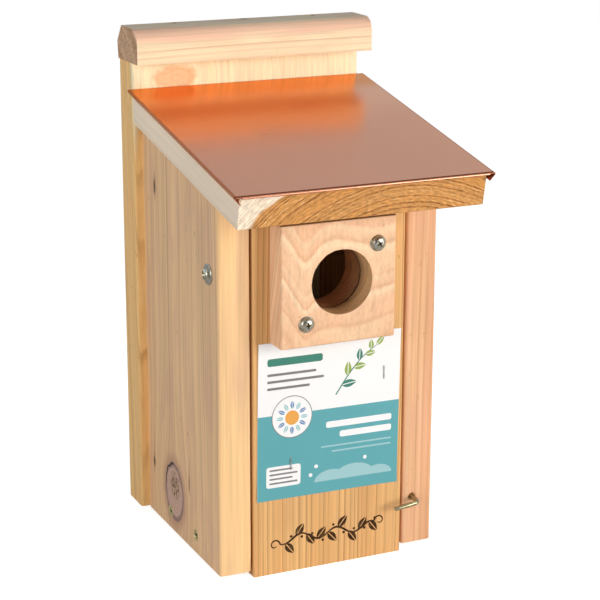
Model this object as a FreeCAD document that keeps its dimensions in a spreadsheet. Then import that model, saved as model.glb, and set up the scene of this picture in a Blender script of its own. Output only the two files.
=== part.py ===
import FreeCAD
import Part
import Sketcher
import math
import os
from FreeCAD import Placement, Rotation, Vector

# A cedar nest box for bluebirds. Two side boards stand between a tall back board and a front board that
# swings on two screws near its top. The sloped roof board carries a bent copper sheet, a square block
# deepens the round entrance, and a bent pin in the right side board keeps the front board shut.
#
# Frame: +Z up, front towards -Y, the turn latch on the +X side. The origin is the centre of the bottom
# of the bounding box, which is the level of the front board's lower end.

# Driving sizes in millimetres and degrees: name, value, meaning.
SIZES = (
    ("hole_diameter", 38.1, "round entrance through the guard block"),
    ("hole_height", 175.6, "entrance axis above the lower end of the side boards"),
    ("door_hole_relief", 1.0, "how much wider the front board's hole is than the block's"),
    ("inner_width", 99.2, "clear width between the side boards"),
    ("side_thickness", 19.8, "side board"),
    ("side_depth", 118.3, "side board, front edge to back board"),
    ("side_front_height", 226.8, "side board at its front edge"),
    ("side_round", 1.6, "rounding of the side board's front edges"),
    ("side_margin", 5.8, "back and roof boards past the side boards, each side"),
    ("back_height", 285.2, "back board"),
    ("back_thickness", 21.6, "back board"),
    ("back_lift", 1.0, "back board's lower end above the side boards'"),
    ("back_round", 1.8, "rounding of the back board's front edges"),
    ("wall_hole_diameter", 7.0, "holes for fixing to a post"),
    ("wall_hole_low", 62.0, "lower fixing hole above the back board's lower end"),
    ("wall_hole_spacing", 112.6, "between the two fixing holes"),
    ("roof_pitch", 10.7, "fall of the roof towards the front"),
    ("roof_thickness", 20.0, "roof board"),
    ("roof_overhang", 46.4, "top front edge of the roof board before the side boards"),
    ("sheet_thickness", 0.55, "copper sheet"),
    ("sheet_back_gap", 0.3, "copper to back board"),
    ("sheet_reach", 3.7, "front edge of the copper before the roof board, along the slope"),
    ("fold_angle", 51.0, "side fold of the copper, measured from the sheet"),
    ("fold_drop", 4.3, "lower edge of the side fold below the roof board's top"),
    ("fold_radius", 0.75, "outer radius of the side fold"),
    ("hem_gap", 0.2, "inner gap of the closed front hem"),
    ("hem_clear", 0.3, "free edge of the front hem to the roof board"),
    ("cap_margin", 2.0, "cap strip past the back board, each end"),
    ("cap_depth", 35.2, "cap strip"),
    ("cap_height", 20.6, "cap strip"),
    ("cap_overhang", 15.5, "cap strip before the back board's front face"),
    ("cap_round", 8.5, "rounding of the cap's top front edge"),
    ("cap_rear_lean", 1.2, "lean of the cap's rear face below its bevel"),
    ("cap_bevel_depth", 7.5, "bevel at the cap's top rear edge, from front to back"),
    ("cap_bevel_height", 10.0, "the same bevel, from top to bottom"),
    ("floor_thickness", 20.0, "floor board"),
    ("floor_lift", 1.2, "underside of the floor above the side boards' lower end"),
    ("floor_fit", 0.15, "floor to each side board"),
    ("floor_corner", 13.0, "clipped drain corners of the floor"),
    ("door_thickness", 20.0, "front board"),
    ("door_gap", 1.35, "front board to each side board"),
    ("door_top_gap", 3.6, "vent gap above the front board"),
    ("door_drop", 4.1, "front board's lower end below the side boards'"),
    ("door_proud", 0.6, "front board's face before the side boards' front edges"),
    ("door_round", 0.8, "rounding of the front board's long edges"),
    ("door_stop_gap", 0.3, "shut front board to the floor's front edge"),
    ("kerf_width", 3.0, "climbing kerf inside the front board"),
    ("kerf_depth", 2.5, "climbing kerf inside the front board"),
    ("kerf_length", 60.0, "climbing kerf inside the front board"),
    ("kerf_spacing", 14.0, "between climbing kerfs"),
    ("kerf_top_gap", 16.0, "highest kerf below the entrance hole"),
    ("pivot_height", 180.3, "door screws above the side boards' lower end"),
    ("pivot_setback", 13.4, "door screws behind the side boards' front edges"),
    ("block_width", 71.8, "guard block"),
    ("block_height", 72.2, "guard block"),
    ("block_thickness", 16.2, "guard block"),
    ("block_shift", 2.0, "block's centre left of the entrance axis"),
    ("block_bevel", 0.7, "eased front edges of the guard block"),
    ("guard_screw_side", 22.3, "guard screws from the entrance axis, sideways"),
    ("guard_screw_rise", 21.5, "guard screws from their common centre, upwards"),
    ("guard_screw_drop", 1.0, "common centre of the guard screws below the entrance axis"),
    ("pan_head_diameter", 9.7, "guard screw"),
    ("pan_head_height", 2.9, "guard screw"),
    ("pan_shank_diameter", 4.2, "guard screw"),
    ("pan_length", 32.0, "guard screw below its head"),
    ("washer_head_diameter", 12.2, "door screw"),
    ("washer_head_height", 3.3, "door screw"),
    ("pivot_shank_diameter", 4.8, "door screw"),
    ("pivot_length", 45.0, "door screw below its head"),
    ("pivot_run", 0.08, "door screw in the side board, radial"),
    ("flat_head_diameter", 7.4, "countersunk screw"),
    ("flat_shank_diameter", 3.8, "countersunk screw"),
    ("flat_length", 42.0, "countersunk screw, whole"),
    ("drive_clear", 0.1, "pilot and clearance holes over their screw"),
    ("end_clear", 1.0, "pilot holes beyond their screw's tip"),
    ("recess_width", 1.1, "cross recess"),
    ("recess_span", 4.4, "cross recess"),
    ("recess_depth", 1.3, "cross recess"),
    ("floor_screw_front", 38.8, "first floor screw behind the side boards' front edges"),
    ("floor_screw_spacing", 42.4, "between floor screws"),
    ("back_screw_low", 48.0, "lower back screws above the side boards' lower end"),
    ("back_screw_spacing", 150.0, "between the back screws"),
    ("roof_screw_front", 26.0, "front roof screws behind the side boards' front edges, along the slope"),
    ("roof_screw_spacing", 64.0, "between roof screws, along the slope"),
    ("roof_back_screw_side", 45.0, "screws into the roof's rear edge, from the middle"),
    ("nail_diameter", 2.6, "cap nail"),
    ("nail_head_diameter", 5.4, "cap nail"),
    ("nail_head_height", 1.0, "cap nail"),
    ("nail_length", 38.0, "cap nail below its head"),
    ("nail_spacing", 46.0, "between cap nails"),
    ("nail_setback", 8.4, "cap nails behind the back board's front face"),
    ("latch_height", 29.6, "latch pin above the side boards' lower end"),
    ("latch_inset", 6.8, "latch pin from the side board's inner face"),
    ("latch_pin_diameter", 2.9, "latch pin"),
    ("latch_run", 0.06, "latch pin in its bore, radial"),
    ("latch_mouth_diameter", 4.9, "wider mouth of the latch bore"),
    ("latch_mouth_depth", 5.0, "wider mouth of the latch bore"),
    ("latch_depth", 24.0, "latch pin inside the side board"),
    ("latch_stand_off", 9.2, "latch arm's centre line before the side board"),
    ("latch_arm", 16.6, "latch arm from the pin's centre line"),
    ("latch_bend", 3.2, "centre-line radius of the latch's bend"),
    ("latch_droop", 7.0, "arm below level"),
    ("card_width", 91.4, "label card"),
    ("card_height", 97.6, "label card"),
    ("card_thickness", 0.4, "label card"),
    ("card_gap", 0.4, "label card below the guard block"),
    ("staple_crown", 8.6, "label staple"),
    ("staple_wire", 0.6, "label staple"),
    ("staple_leg", 5.0, "label staple's legs in the front board"),
    ("staple_slot_clear", 0.05, "slots round the staple legs, each side"),
    ("staple_right", 35.4, "upper staple from the middle"),
    ("staple_right_rise", 112.4, "upper staple above the side boards' lower end"),
    ("staple_left", 24.9, "lower staple from the middle"),
    ("staple_left_rise", 64.4, "lower staple above the side boards' lower end"),
)

doc = FreeCAD.newDocument("BluebirdHouse")
sheet = doc.addObject("Spreadsheet::Sheet", "Sizes")
for row, (alias, value, meaning) in enumerate(SIZES, start=1):
    sheet.set(f"A{row}", alias)
    sheet.set(f"B{row}", str(value))
    sheet.setAlias(f"B{row}", alias)
    sheet.set(f"C{row}", meaning)
doc.recompute()


def sized(text):
    """A formula with every size's name pointed at the sheet."""
    return text.replace("[", "Sizes.").replace("]", "")


# Formulas that more than one piece uses. Lengths along Y start at the side boards' front edges.
SLOPE = "tan([roof_pitch])"
COS = "cos([roof_pitch])"
SIN = "sin([roof_pitch])"
OUTER_HALF = "([inner_width] / 2 + [side_thickness])"
BACK_HALF = f"({OUTER_HALF} + [side_margin])"
SIDE_MIDDLE = "([inner_width] / 2 + [side_thickness] / 2)"
ROOF_RUN = "([side_depth] + [roof_overhang])"
ROOF_FRONT_TOP = f"([side_front_height] + [roof_thickness] / {COS} - [roof_overhang] * {SLOPE})"
ROOF_BACK_RISE = f"([side_front_height] + [side_depth] * {SLOPE} + [roof_thickness] / {COS} / 2)"
HEM_RADIUS = "([sheet_thickness] + [hem_gap] / 2)"
HEM_RUN = f"([sheet_reach] - {HEM_RADIUS})"
NOSE = f"([roof_overhang] + {HEM_RUN} * {COS} + {HEM_RADIUS} - [hem_gap] / 2 * {SIN})"
FRONT_Y = f"(({NOSE} - [side_depth] - [back_thickness]) / 2)"
DOOR_HALF = "([inner_width] / 2 - [door_gap])"
DOOR_FACE = "([pivot_setback] + [door_proud])"
BLOCK_FACE_Y = "([door_proud] + [block_thickness])"
PIVOT_HOLE = "([pivot_shank_diameter] + 2 * [pivot_run])"
FLAT_HOLE = "([flat_shank_diameter] + [drive_clear])"
FLAT_SINK = "([flat_head_diameter] + [drive_clear])"
FLAT_IN_SIDE = "([flat_length] + [end_clear] - [side_thickness])"
FLAT_IN_BACK = "([flat_length] + [end_clear] - [back_thickness])"
FLAT_IN_ROOF = "([flat_length] + [end_clear] - [roof_thickness])"
CARD_TOP = "([hole_height] - [block_height] / 2 - [card_gap])"


def number(item, text):
    """The value of a formula."""
    value = item.evalExpression(sized(text))
    return float(getattr(value, "Value", value))


def bind(item, prop, text):
    """Ties a property to a formula."""
    item.setExpression(prop, sized(text))


def new_body(label, x="0", y="0", z="0", turn_axis=None, turn="0"):
    """A sub-part placed from the side boards' front edges, the middle and the side boards' lower end."""
    body = doc.addObject("PartDesign::Body", label)
    body.Label = label
    if turn_axis:
        body.Placement = Placement(Vector(), Rotation(turn_axis, 1.0))
        bind(body, ".Placement.Rotation.Angle", turn)
    bind(body, ".Placement.Base.x", x)
    bind(body, ".Placement.Base.y", f"{y} + {FRONT_Y}")
    bind(body, ".Placement.Base.z", f"{z} + [door_drop]")
    return body


def new_sketch(body, name, role, x="0", y="0", lift="0", tilt=None):
    """A sketch on one of the body's own planes, moved in the plane and along its normal."""
    sketch = body.newObject("Sketcher::SketchObject", f"{body.Label}_{name}")
    plane = next(item for item in body.Origin.OriginFeatures if item.Role == role)
    sketch.AttachmentSupport = (plane, "")
    sketch.MapMode = "FlatFace"
    if tilt:
        sketch.AttachmentOffset = Placement(Vector(), Rotation(Vector(1, 0, 0), 1.0))
        bind(sketch, ".AttachmentOffset.Rotation.Angle", tilt)
    bind(sketch, ".AttachmentOffset.Base.x", x)
    bind(sketch, ".AttachmentOffset.Base.y", y)
    bind(sketch, ".AttachmentOffset.Base.z", lift)
    return sketch


def locate(sketch, item, spot, x, y):
    """Dimensions a point of the sketch from the sketch's origin."""
    for kind, text in (("DistanceX", x), ("DistanceY", y)):
        index = sketch.addConstraint(Sketcher.Constraint(kind, -1, 1, item, spot, number(sketch, text)))
        bind(sketch, f"Constraints[{index}]", text)


def outline(sketch, corners):
    """A closed outline through dimensioned corners."""
    first = sketch.GeometryCount
    points = [Vector(number(sketch, x), number(sketch, y), 0) for x, y in corners]
    count = len(points)
    for index, point in enumerate(points):
        sketch.addGeometry(Part.LineSegment(point, points[(index + 1) % count]), False)
    for index, (x, y) in enumerate(corners):
        following = first + (index + 1) % count
        sketch.addConstraint(Sketcher.Constraint("Coincident", first + index, 2, following, 1))
        locate(sketch, first + index, 1, x, y)
    return sketch


def rectangle(sketch, left, bottom, right, top):
    return outline(sketch, [(left, bottom), (right, bottom), (right, top), (left, top)])


def circle(sketch, x, y, diameter):
    """A dimensioned circle."""
    centre = Vector(number(sketch, x), number(sketch, y), 0)
    index = sketch.addGeometry(Part.Circle(centre, Vector(0, 0, 1), number(sketch, diameter) / 2), False)
    locate(sketch, index, 3, x, y)
    size = sketch.addConstraint(Sketcher.Constraint("Diameter", index, number(sketch, diameter)))
    bind(sketch, f"Constraints[{size}]", diameter)
    return sketch


def pad(body, sketch, length, reverse=False, middle=False):
    """A pad along the sketch's normal, against it, or both ways."""
    feature = body.newObject("PartDesign::Pad", f"{sketch.Name}_pad")
    feature.Profile = sketch
    feature.Reversed = reverse
    feature.SideType = "Symmetric" if middle else "One side"
    bind(feature, "Length", length)
    doc.recompute()
    return feature


def removed(body, feature, before):
    """Raises an error where a cut missed the solid."""
    doc.recompute()
    if body.Shape.Volume > before - 0.01:
        raise ValueError(f"{feature.Name} cuts nothing")
    return feature


def pocket(body, sketch, depth=None, reverse=False):
    """A pocket of a given depth, or right through both ways."""
    doc.recompute()
    before = body.Shape.Volume
    feature = body.newObject("PartDesign::Pocket", f"{sketch.Name}_cut")
    feature.Profile = sketch
    feature.Reversed = reverse
    if depth is None:
        feature.SideType = "Symmetric"
        feature.Type = "ThroughAll"
    else:
        bind(feature, "Length", depth)
    return removed(body, feature, before)


def drill(body, sketch, diameter, sink, reverse=False):
    """Countersunk holes right through, one at each circle of the sketch."""
    doc.recompute()
    before = body.Shape.Volume
    feature = body.newObject("PartDesign::Hole", f"{sketch.Name}_drill")
    feature.Profile = sketch
    doc.recompute()
    feature.Reversed = reverse
    feature.DepthType = "ThroughAll"
    feature.HoleCutType = "Countersink"
    feature.HoleCutCustomValues = True
    feature.HoleCutCountersinkAngle = 90
    bind(feature, "Diameter", diameter)
    bind(feature, "HoleCutDiameter", sink)
    return removed(body, feature, before)


def edges(shape, wanted):
    """Names of the straight edges whose middle and direction pass a test."""
    names = []
    for index, edge in enumerate(shape.Edges, start=1):
        if edge.Curve.TypeId != "Part::GeomLine":
            continue
        middle = edge.valueAt((edge.FirstParameter + edge.LastParameter) / 2)
        if wanted(middle, edge.tangentAt(edge.FirstParameter)):
            names.append(f"Edge{index}")
    return names


def ease(body, kind, prop, size, wanted):
    """A fillet or chamfer on the edges that pass a test. The test sees points in the body's own frame."""
    doc.recompute()
    base = body.Tip
    names = edges(base.Shape, wanted)
    if not names:
        raise ValueError(f"{body.Label} has no edge to ease")
    feature = body.newObject(f"PartDesign::{kind}", f"{body.Label}_{kind.lower()}")
    feature.Base = (base, names)
    bind(feature, prop, size)
    doc.recompute()
    return feature


def near(value, target):
    return abs(value - target) < 1e-4


def pattern(body, features, axis, spacing, count=2, second=None, reverse=False):
    """Copies features along one origin axis, or along two as a grid of two rows."""
    doc.recompute()
    axes = {item.Role: item for item in body.Origin.OriginFeatures}
    grid = body.newObject("PartDesign::LinearPattern", f"{body.Label}_pattern")
    grid.Originals = features
    grid.Direction = (axes[axis], [""])
    grid.Mode = "Spacing"
    grid.Occurrences = count
    bind(grid, "Offset", spacing)
    if second:
        grid.Direction2 = (axes[second[0]], [""])
        grid.Mode2 = "Spacing"
        grid.Occurrences2 = 2
        grid.Reversed2 = reverse
        grid.Spacings2 = [-1.0]
        bind(grid, "Offset2", second[1])
    body.Tip = grid
    doc.recompute()
    return grid


def fastener(body, profile, recess_top=None, x="0", y="0"):
    """A turned screw or nail along the body's Z axis, with a cross recess where its top is given."""
    section = new_sketch(body, "profile", "XZ_Plane", x=x, lift=f"-({y})")
    outline(section, profile)
    turned = body.newObject("PartDesign::Revolution", f"{body.Label}_turned")
    turned.Profile = section
    turned.ReferenceAxis = (section, ["V_Axis"])
    turned.Angle = 360
    doc.recompute()
    if recess_top is None:
        return [turned]
    cross = new_sketch(body, "cross", "XY_Plane", x=x, y=y, lift=recess_top)
    wide = "[recess_span] / 2"
    thin = "[recess_width] / 2"
    corners = [(thin, wide), (thin, thin), (wide, thin)]
    corners += [(wide, f"-{thin}"), (thin, f"-{thin}"), (thin, f"-{wide}")]
    corners += [(f"-{a}", f"-{b}") for a, b in corners[:3]]
    corners += [(f"-{wide}", thin), (f"-{thin}", thin), (f"-{thin}", wide)]
    outline(cross, corners)
    return [turned, pocket(body, cross, "[recess_depth]")]


def pan_profile(head, height, shank, length):
    """Half section of a screw with a domed head: tip, shank, seat, dome."""
    return [
        ("0", f"-{length}"),
        (f"{shank} / 2", f"-{length} + 1.2 * {shank}"),
        (f"{shank} / 2", "0"),
        (f"{head} / 2", "0"),
        (f"{head} / 2", f"0.35 * {height}"),
        (f"0.86 * {head} / 2", f"0.7 * {height}"),
        (f"0.58 * {head} / 2", f"0.94 * {height}"),
        (f"0.3 * {head} / 2", height),
        ("0", height),
    ]


def flat_profile():
    """Half section of a countersunk screw whose face is at the origin."""
    shank = "[flat_shank_diameter] / 2"
    head = "[flat_head_diameter] / 2"
    return [
        ("0", "-[flat_length]"),
        (shank, "-[flat_length] + 1.2 * [flat_shank_diameter]"),
        (shank, f"-({head} - {shank})"),
        (head, "0"),
        ("0", "0"),
    ]


def back_board():
    """Tall board behind everything, with its origin at the bottom middle of its front face."""
    body = new_body("back_board", y="[side_depth]", z="[back_lift]")
    face = new_sketch(body, "face", "XZ_Plane")
    rectangle(face, f"-{BACK_HALF}", "0", BACK_HALF, "[back_height]")
    pad(body, face, "[back_thickness]", reverse=True)
    side = number(body, BACK_HALF)
    ease(body, "Fillet", "Radius", "[back_round]", lambda p, t: near(abs(p.x), side) and near(p.y, 0))
    fixing = new_sketch(body, "fixing", "XZ_Plane")
    circle(fixing, "0", "[wall_hole_low]", "[wall_hole_diameter]")
    circle(fixing, "0", "[wall_hole_low] + [wall_hole_spacing]", "[wall_hole_diameter]")
    pocket(body, fixing)
    rear = new_sketch(body, "rear", "XZ_Plane", lift="-[back_thickness]")
    for sign in ("", "-"):
        for rise in ("[back_screw_low]", "[back_screw_low] + [back_screw_spacing]"):
            circle(rear, f"{sign}{SIDE_MIDDLE}", f"{rise} - [back_lift]", FLAT_HOLE)
        circle(rear, f"{sign}[roof_back_screw_side]", f"{ROOF_BACK_RISE} - [back_lift]", FLAT_HOLE)
    drill(body, rear, FLAT_HOLE, FLAT_SINK, reverse=True)
    top = new_sketch(body, "top", "XY_Plane", lift="[back_height]")
    nail_holes(top, "[nail_setback]", "[nail_diameter] + [drive_clear]")
    pocket(body, top, "[nail_length] - [cap_height] + [nail_head_height] + [end_clear]")
    return body


def nail_holes(sketch, y, diameter):
    """Three circles on the middle line of the back board."""
    for x in ("-[nail_spacing]", "0", "[nail_spacing]"):
        circle(sketch, x, y, diameter)


def top_cap():
    """Cap strip on the back board's upper end, with its origin at its lower front edge."""
    body = new_body("top_cap", y="[side_depth] - [cap_overhang]", z="[back_lift] + [back_height]")
    end = new_sketch(body, "end", "YZ_Plane")
    corners = [("0", "0"), ("[cap_depth] - [cap_rear_lean]", "0")]
    corners += [("[cap_depth]", "[cap_height] - [cap_bevel_height]")]
    corners += [("[cap_depth] - [cap_bevel_depth]", "[cap_height]"), ("0", "[cap_height]")]
    outline(end, corners)
    pad(body, end, f"2 * ({BACK_HALF} + [cap_margin])", middle=True)
    top = number(body, "[cap_height]")
    ease(body, "Fillet", "Radius", "[cap_round]", lambda p, t: near(p.y, 0) and near(p.z, top))
    across = "[cap_overhang] + [nail_setback]"
    heads = new_sketch(body, "heads", "XY_Plane", lift="[cap_height]")
    nail_holes(heads, across, "[nail_head_diameter] + [drive_clear]")
    pocket(body, heads, "[nail_head_height] * 2")
    shanks = new_sketch(body, "shanks", "XY_Plane")
    nail_holes(shanks, across, "[nail_diameter] + [drive_clear]")
    pocket(body, shanks)
    return body


def cap_nails():
    """Three nails, their heads a head's height under the cap's top."""
    level = "[back_lift] + [back_height] + [cap_height] - 2 * [nail_head_height]"
    body = new_body("cap_nails", y="[side_depth] + [nail_setback]", z=level)
    shank = "[nail_diameter] / 2"
    head = "[nail_head_diameter] / 2"
    profile = [("0", "-[nail_length]"), (shank, "-[nail_length] + 2 * [nail_diameter]"), (shank, "0")]
    profile += [(head, "0"), (head, "[nail_head_height]"), ("0", "[nail_head_height]")]
    pattern(body, fastener(body, profile, x="-[nail_spacing]"), "X_Axis", "[nail_spacing]", count=3)
    return body


def side_board(label, sign):
    """Side board with its origin at the lower front corner of its outer face. sign is -1 for the left one."""
    left = sign < 0
    body = new_body(label, x=f"{sign} * {OUTER_HALF}")
    face = new_sketch(body, "face", "YZ_Plane")
    rear_height = f"[side_front_height] + [side_depth] * {SLOPE}"
    corners = [("0", "0"), ("[side_depth]", "0"), ("[side_depth]", rear_height), ("0", "[side_front_height]")]
    outline(face, corners)
    pad(body, face, "[side_thickness]", reverse=not left)
    ease(body, "Fillet", "Radius", "[side_round]", lambda p, t: near(p.y, 0) and near(abs(t.z), 1))
    pivot = new_sketch(body, "pivot", "YZ_Plane")
    circle(pivot, "[pivot_setback]", "[pivot_height]", PIVOT_HOLE)
    pocket(body, pivot)
    bottom = new_sketch(body, "bottom", "YZ_Plane")
    for along in ("[floor_screw_front]", "[floor_screw_front] + [floor_screw_spacing]"):
        circle(bottom, along, "[floor_lift] + [floor_thickness] / 2", FLAT_HOLE)
    drill(body, bottom, FLAT_HOLE, FLAT_SINK, reverse=left)
    middle = f"{-sign} * [side_thickness] / 2"
    rear = new_sketch(body, "rear", "XZ_Plane", lift="-[side_depth]")
    for rise in ("[back_screw_low]", "[back_screw_low] + [back_screw_spacing]"):
        circle(rear, middle, rise, FLAT_HOLE)
    pocket(body, rear, FLAT_IN_BACK, reverse=True)
    top = new_sketch(body, "top", "XY_Plane", lift="[side_front_height]", tilt="[roof_pitch]")
    for along in ("[roof_screw_front]", "[roof_screw_front] + [roof_screw_spacing]"):
        circle(top, middle, along, FLAT_HOLE)
    pocket(body, top, FLAT_IN_ROOF)
    return body


def latch_bore(body):
    """Stepped bore in the front edge of the right side board."""
    across = "-([side_thickness] - [latch_inset])"
    steps = (
        ("mouth", "[latch_mouth_diameter]", "[latch_mouth_depth]"),
        ("bore", "[latch_pin_diameter] + 2 * [latch_run]", "[latch_depth] + [end_clear]"),
    )
    for name, diameter, depth in steps:
        sketch = new_sketch(body, name, "XZ_Plane")
        circle(sketch, across, "[latch_height]", diameter)
        pocket(body, sketch, depth)


def floor_board():
    """Floor between the side boards, with its origin at the middle of its lower front edge."""
    front = "[door_thickness] - [door_proud] + [door_stop_gap]"
    body = new_body("floor_board", y=front, z="[floor_lift]")
    half = "([inner_width] / 2 - [floor_fit])"
    deep = f"([side_depth] - ({front}))"
    inset = f"({half} - [floor_corner])"
    plan = new_sketch(body, "plan", "XY_Plane")
    corners = [(f"-{inset}", "0"), (inset, "0"), (half, "[floor_corner]"), (half, f"{deep} - [floor_corner]")]
    corners += [(inset, deep), (f"-{inset}", deep), (f"-{half}", f"{deep} - [floor_corner]")]
    outline(plan, corners + [(f"-{half}", "[floor_corner]")])
    pad(body, plan, "[floor_thickness]")
    for name, lift, reverse in (("left", f"-{half}", True), ("right", half, False)):
        sketch = new_sketch(body, name, "YZ_Plane", lift=lift)
        for along in ("[floor_screw_front]", "[floor_screw_front] + [floor_screw_spacing]"):
            circle(sketch, f"{along} - ({front})", "[floor_thickness] / 2", FLAT_HOLE)
        pocket(body, sketch, FLAT_IN_SIDE, reverse=reverse)
    return body


def door():
    """Front board with its origin on the axis of the door screws."""
    body = new_body("door", y="[pivot_setback]", z="[pivot_height]")
    low = "-([pivot_height] + [door_drop])"
    high = "([side_front_height] - [door_top_gap] - [pivot_height])"
    face = new_sketch(body, "face", "XZ_Plane", lift=DOOR_FACE)
    rectangle(face, f"-{DOOR_HALF}", low, DOOR_HALF, high)
    pad(body, face, "[door_thickness]", reverse=True)
    front = number(body, f"-{DOOR_FACE}")
    ease(body, "Fillet", "Radius", "[door_round]", lambda p, t: near(p.y, front) and near(abs(t.z), 1))
    entrance = new_sketch(body, "entrance", "XZ_Plane", lift=DOOR_FACE)
    circle(entrance, "0", "[hole_height] - [pivot_height]", "[hole_diameter] + [door_hole_relief]")
    pocket(body, entrance)
    rear = f"([door_thickness] - {DOOR_FACE})"
    kerf = new_sketch(body, "kerf", "XZ_Plane", lift=f"-{rear}")
    top = "([hole_height] - [pivot_height] - [hole_diameter] / 2 - [kerf_top_gap])"
    lowest = f"({top} - 3 * [kerf_spacing])"
    rectangle(kerf, "-[kerf_length] / 2", f"{lowest} - [kerf_width]", "[kerf_length] / 2", lowest)
    slot = pocket(body, kerf, "[kerf_depth]", reverse=True)
    pattern(body, [slot], "Z_Axis", "[kerf_spacing]", count=4)
    for name, lift, reverse in (("left", f"-{DOOR_HALF}", True), ("right", DOOR_HALF, False)):
        bore = new_sketch(body, name, "YZ_Plane", lift=lift)
        circle(bore, "0", "0", "[pivot_shank_diameter] + [drive_clear]")
        pocket(body, bore, "[pivot_length] + [end_clear] - [side_thickness] - [door_gap]", reverse=reverse)
    pilots = new_sketch(body, "pilots", "XZ_Plane", lift=DOOR_FACE)
    guard_circles(pilots, "[hole_height] - [pivot_height]")
    pocket(body, pilots, "[pan_length] + [end_clear] - [block_thickness]")
    slots = new_sketch(body, "slots", "XZ_Plane", lift=DOOR_FACE)
    staple_legs(slots, "[pivot_height]", "[staple_slot_clear]")
    pocket(body, slots, "[staple_leg] + [end_clear]")
    return body


def guard_circles(sketch, axis_height):
    """The two screw circles, point-symmetric about their common centre."""
    hole = "[pan_shank_diameter] + [drive_clear]"
    circle(sketch, "[guard_screw_side]", f"{axis_height} - [guard_screw_drop] + [guard_screw_rise]", hole)
    circle(sketch, "-[guard_screw_side]", f"{axis_height} - [guard_screw_drop] - [guard_screw_rise]", hole)


def guard_block():
    """Block round the entrance, with its origin on the entrance axis at the door's face."""
    body = new_body("guard_block", y="-[door_proud]", z="[hole_height]")
    face = new_sketch(body, "face", "XZ_Plane")
    half = "[block_width] / 2"
    tall = "[block_height] / 2"
    rectangle(face, f"-{half} - [block_shift]", f"-{tall}", f"{half} - [block_shift]", tall)
    pad(body, face, "[block_thickness]")
    front = number(body, "-[block_thickness]")
    ease(body, "Chamfer", "Size", "[block_bevel]", lambda p, t: near(p.y, front))
    holes = new_sketch(body, "holes", "XZ_Plane")
    circle(holes, "0", "0", "[hole_diameter]")
    guard_circles(holes, "0")
    pocket(body, holes)
    return body


def guard_screws():
    """Two domed screws, with the origin at their common centre on the block's face."""
    place = {"y": f"-{BLOCK_FACE_Y}", "z": "[hole_height] - [guard_screw_drop]"}
    body = new_body("guard_screws", **place, turn_axis=Vector(1, 0, 0), turn="90")
    profile = pan_profile("[pan_head_diameter]", "[pan_head_height]", "[pan_shank_diameter]", "[pan_length]")
    screw = fastener(body, profile, "[pan_head_height]", "[guard_screw_side]", "[guard_screw_rise]")
    axis = next(item for item in body.Origin.OriginFeatures if item.Role == "Z_Axis")
    turned = body.newObject("PartDesign::PolarPattern", "guard_screws_pattern")
    turned.Originals = screw
    turned.Axis = (axis, [""])
    turned.Angle = 360
    turned.Occurrences = 2
    body.Tip = turned
    doc.recompute()
    return body


def pivot_screw(label, sign):
    """Washer-head screw that turns in the side board and holds in the door's edge."""
    place = {"x": f"{sign} * {OUTER_HALF}", "y": "[pivot_setback]", "z": "[pivot_height]"}
    body = new_body(label, **place, turn_axis=Vector(0, 1, 0), turn=f"{sign} * 90")
    head = "[washer_head_diameter]"
    tall = "[washer_head_height]"
    shank = "[pivot_shank_diameter]"
    profile = pan_profile(f"(0.62 * {head})", tall, shank, "[pivot_length]")
    rim = [(f"{head} / 2", "0"), (f"{head} / 2", f"0.22 * {tall}"), (f"0.62 * {head} / 2", f"0.4 * {tall}")]
    fastener(body, profile[:3] + rim + profile[5:], tall)
    return body


def floor_screws(label, sign):
    """Two countersunk screws flush with a side board's outer face."""
    place = {"x": f"{sign} * {OUTER_HALF}", "y": "[floor_screw_front]"}
    level = "[floor_lift] + [floor_thickness] / 2"
    body = new_body(label, **place, z=level, turn_axis=Vector(0, 1, 0), turn=f"{sign} * 90")
    pattern(body, fastener(body, flat_profile(), "0"), "Y_Axis", "[floor_screw_spacing]")
    return body


def back_screws():
    """Four countersunk screws through the back board into the side boards."""
    place = {"x": f"-{SIDE_MIDDLE}", "y": "[side_depth] + [back_thickness]", "z": "[back_screw_low]"}
    body = new_body("back_screws", **place, turn_axis=Vector(1, 0, 0), turn="-90")
    screw = fastener(body, flat_profile(), "0")
    pattern(body, screw, "X_Axis", f"2 * {SIDE_MIDDLE}", 2, ("Y_Axis", "[back_screw_spacing]"), True)
    return body


def roof_back_screws():
    """Two countersunk screws through the back board into the roof board's rear edge."""
    place = {"x": "-[roof_back_screw_side]", "y": "[side_depth] + [back_thickness]", "z": ROOF_BACK_RISE}
    body = new_body("roof_back_screws", **place, turn_axis=Vector(1, 0, 0), turn="-90")
    pattern(body, fastener(body, flat_profile(), "0"), "X_Axis", "2 * [roof_back_screw_side]")
    return body


def roof_screws():
    """Four countersunk screws through the roof board into the side boards, under the copper."""
    along = f"([roof_screw_front] * {COS} - [roof_thickness] * {SIN})"
    rise = f"([side_front_height] + [roof_screw_front] * {SIN} + [roof_thickness] * {COS})"
    place = {"x": f"-{SIDE_MIDDLE}", "y": along, "z": rise}
    body = new_body("roof_screws", **place, turn_axis=Vector(1, 0, 0), turn="[roof_pitch]")
    screw = fastener(body, flat_profile(), "0")
    pattern(body, screw, "X_Axis", f"2 * {SIDE_MIDDLE}", 2, ("Y_Axis", "[roof_screw_spacing]"))
    return body


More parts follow.
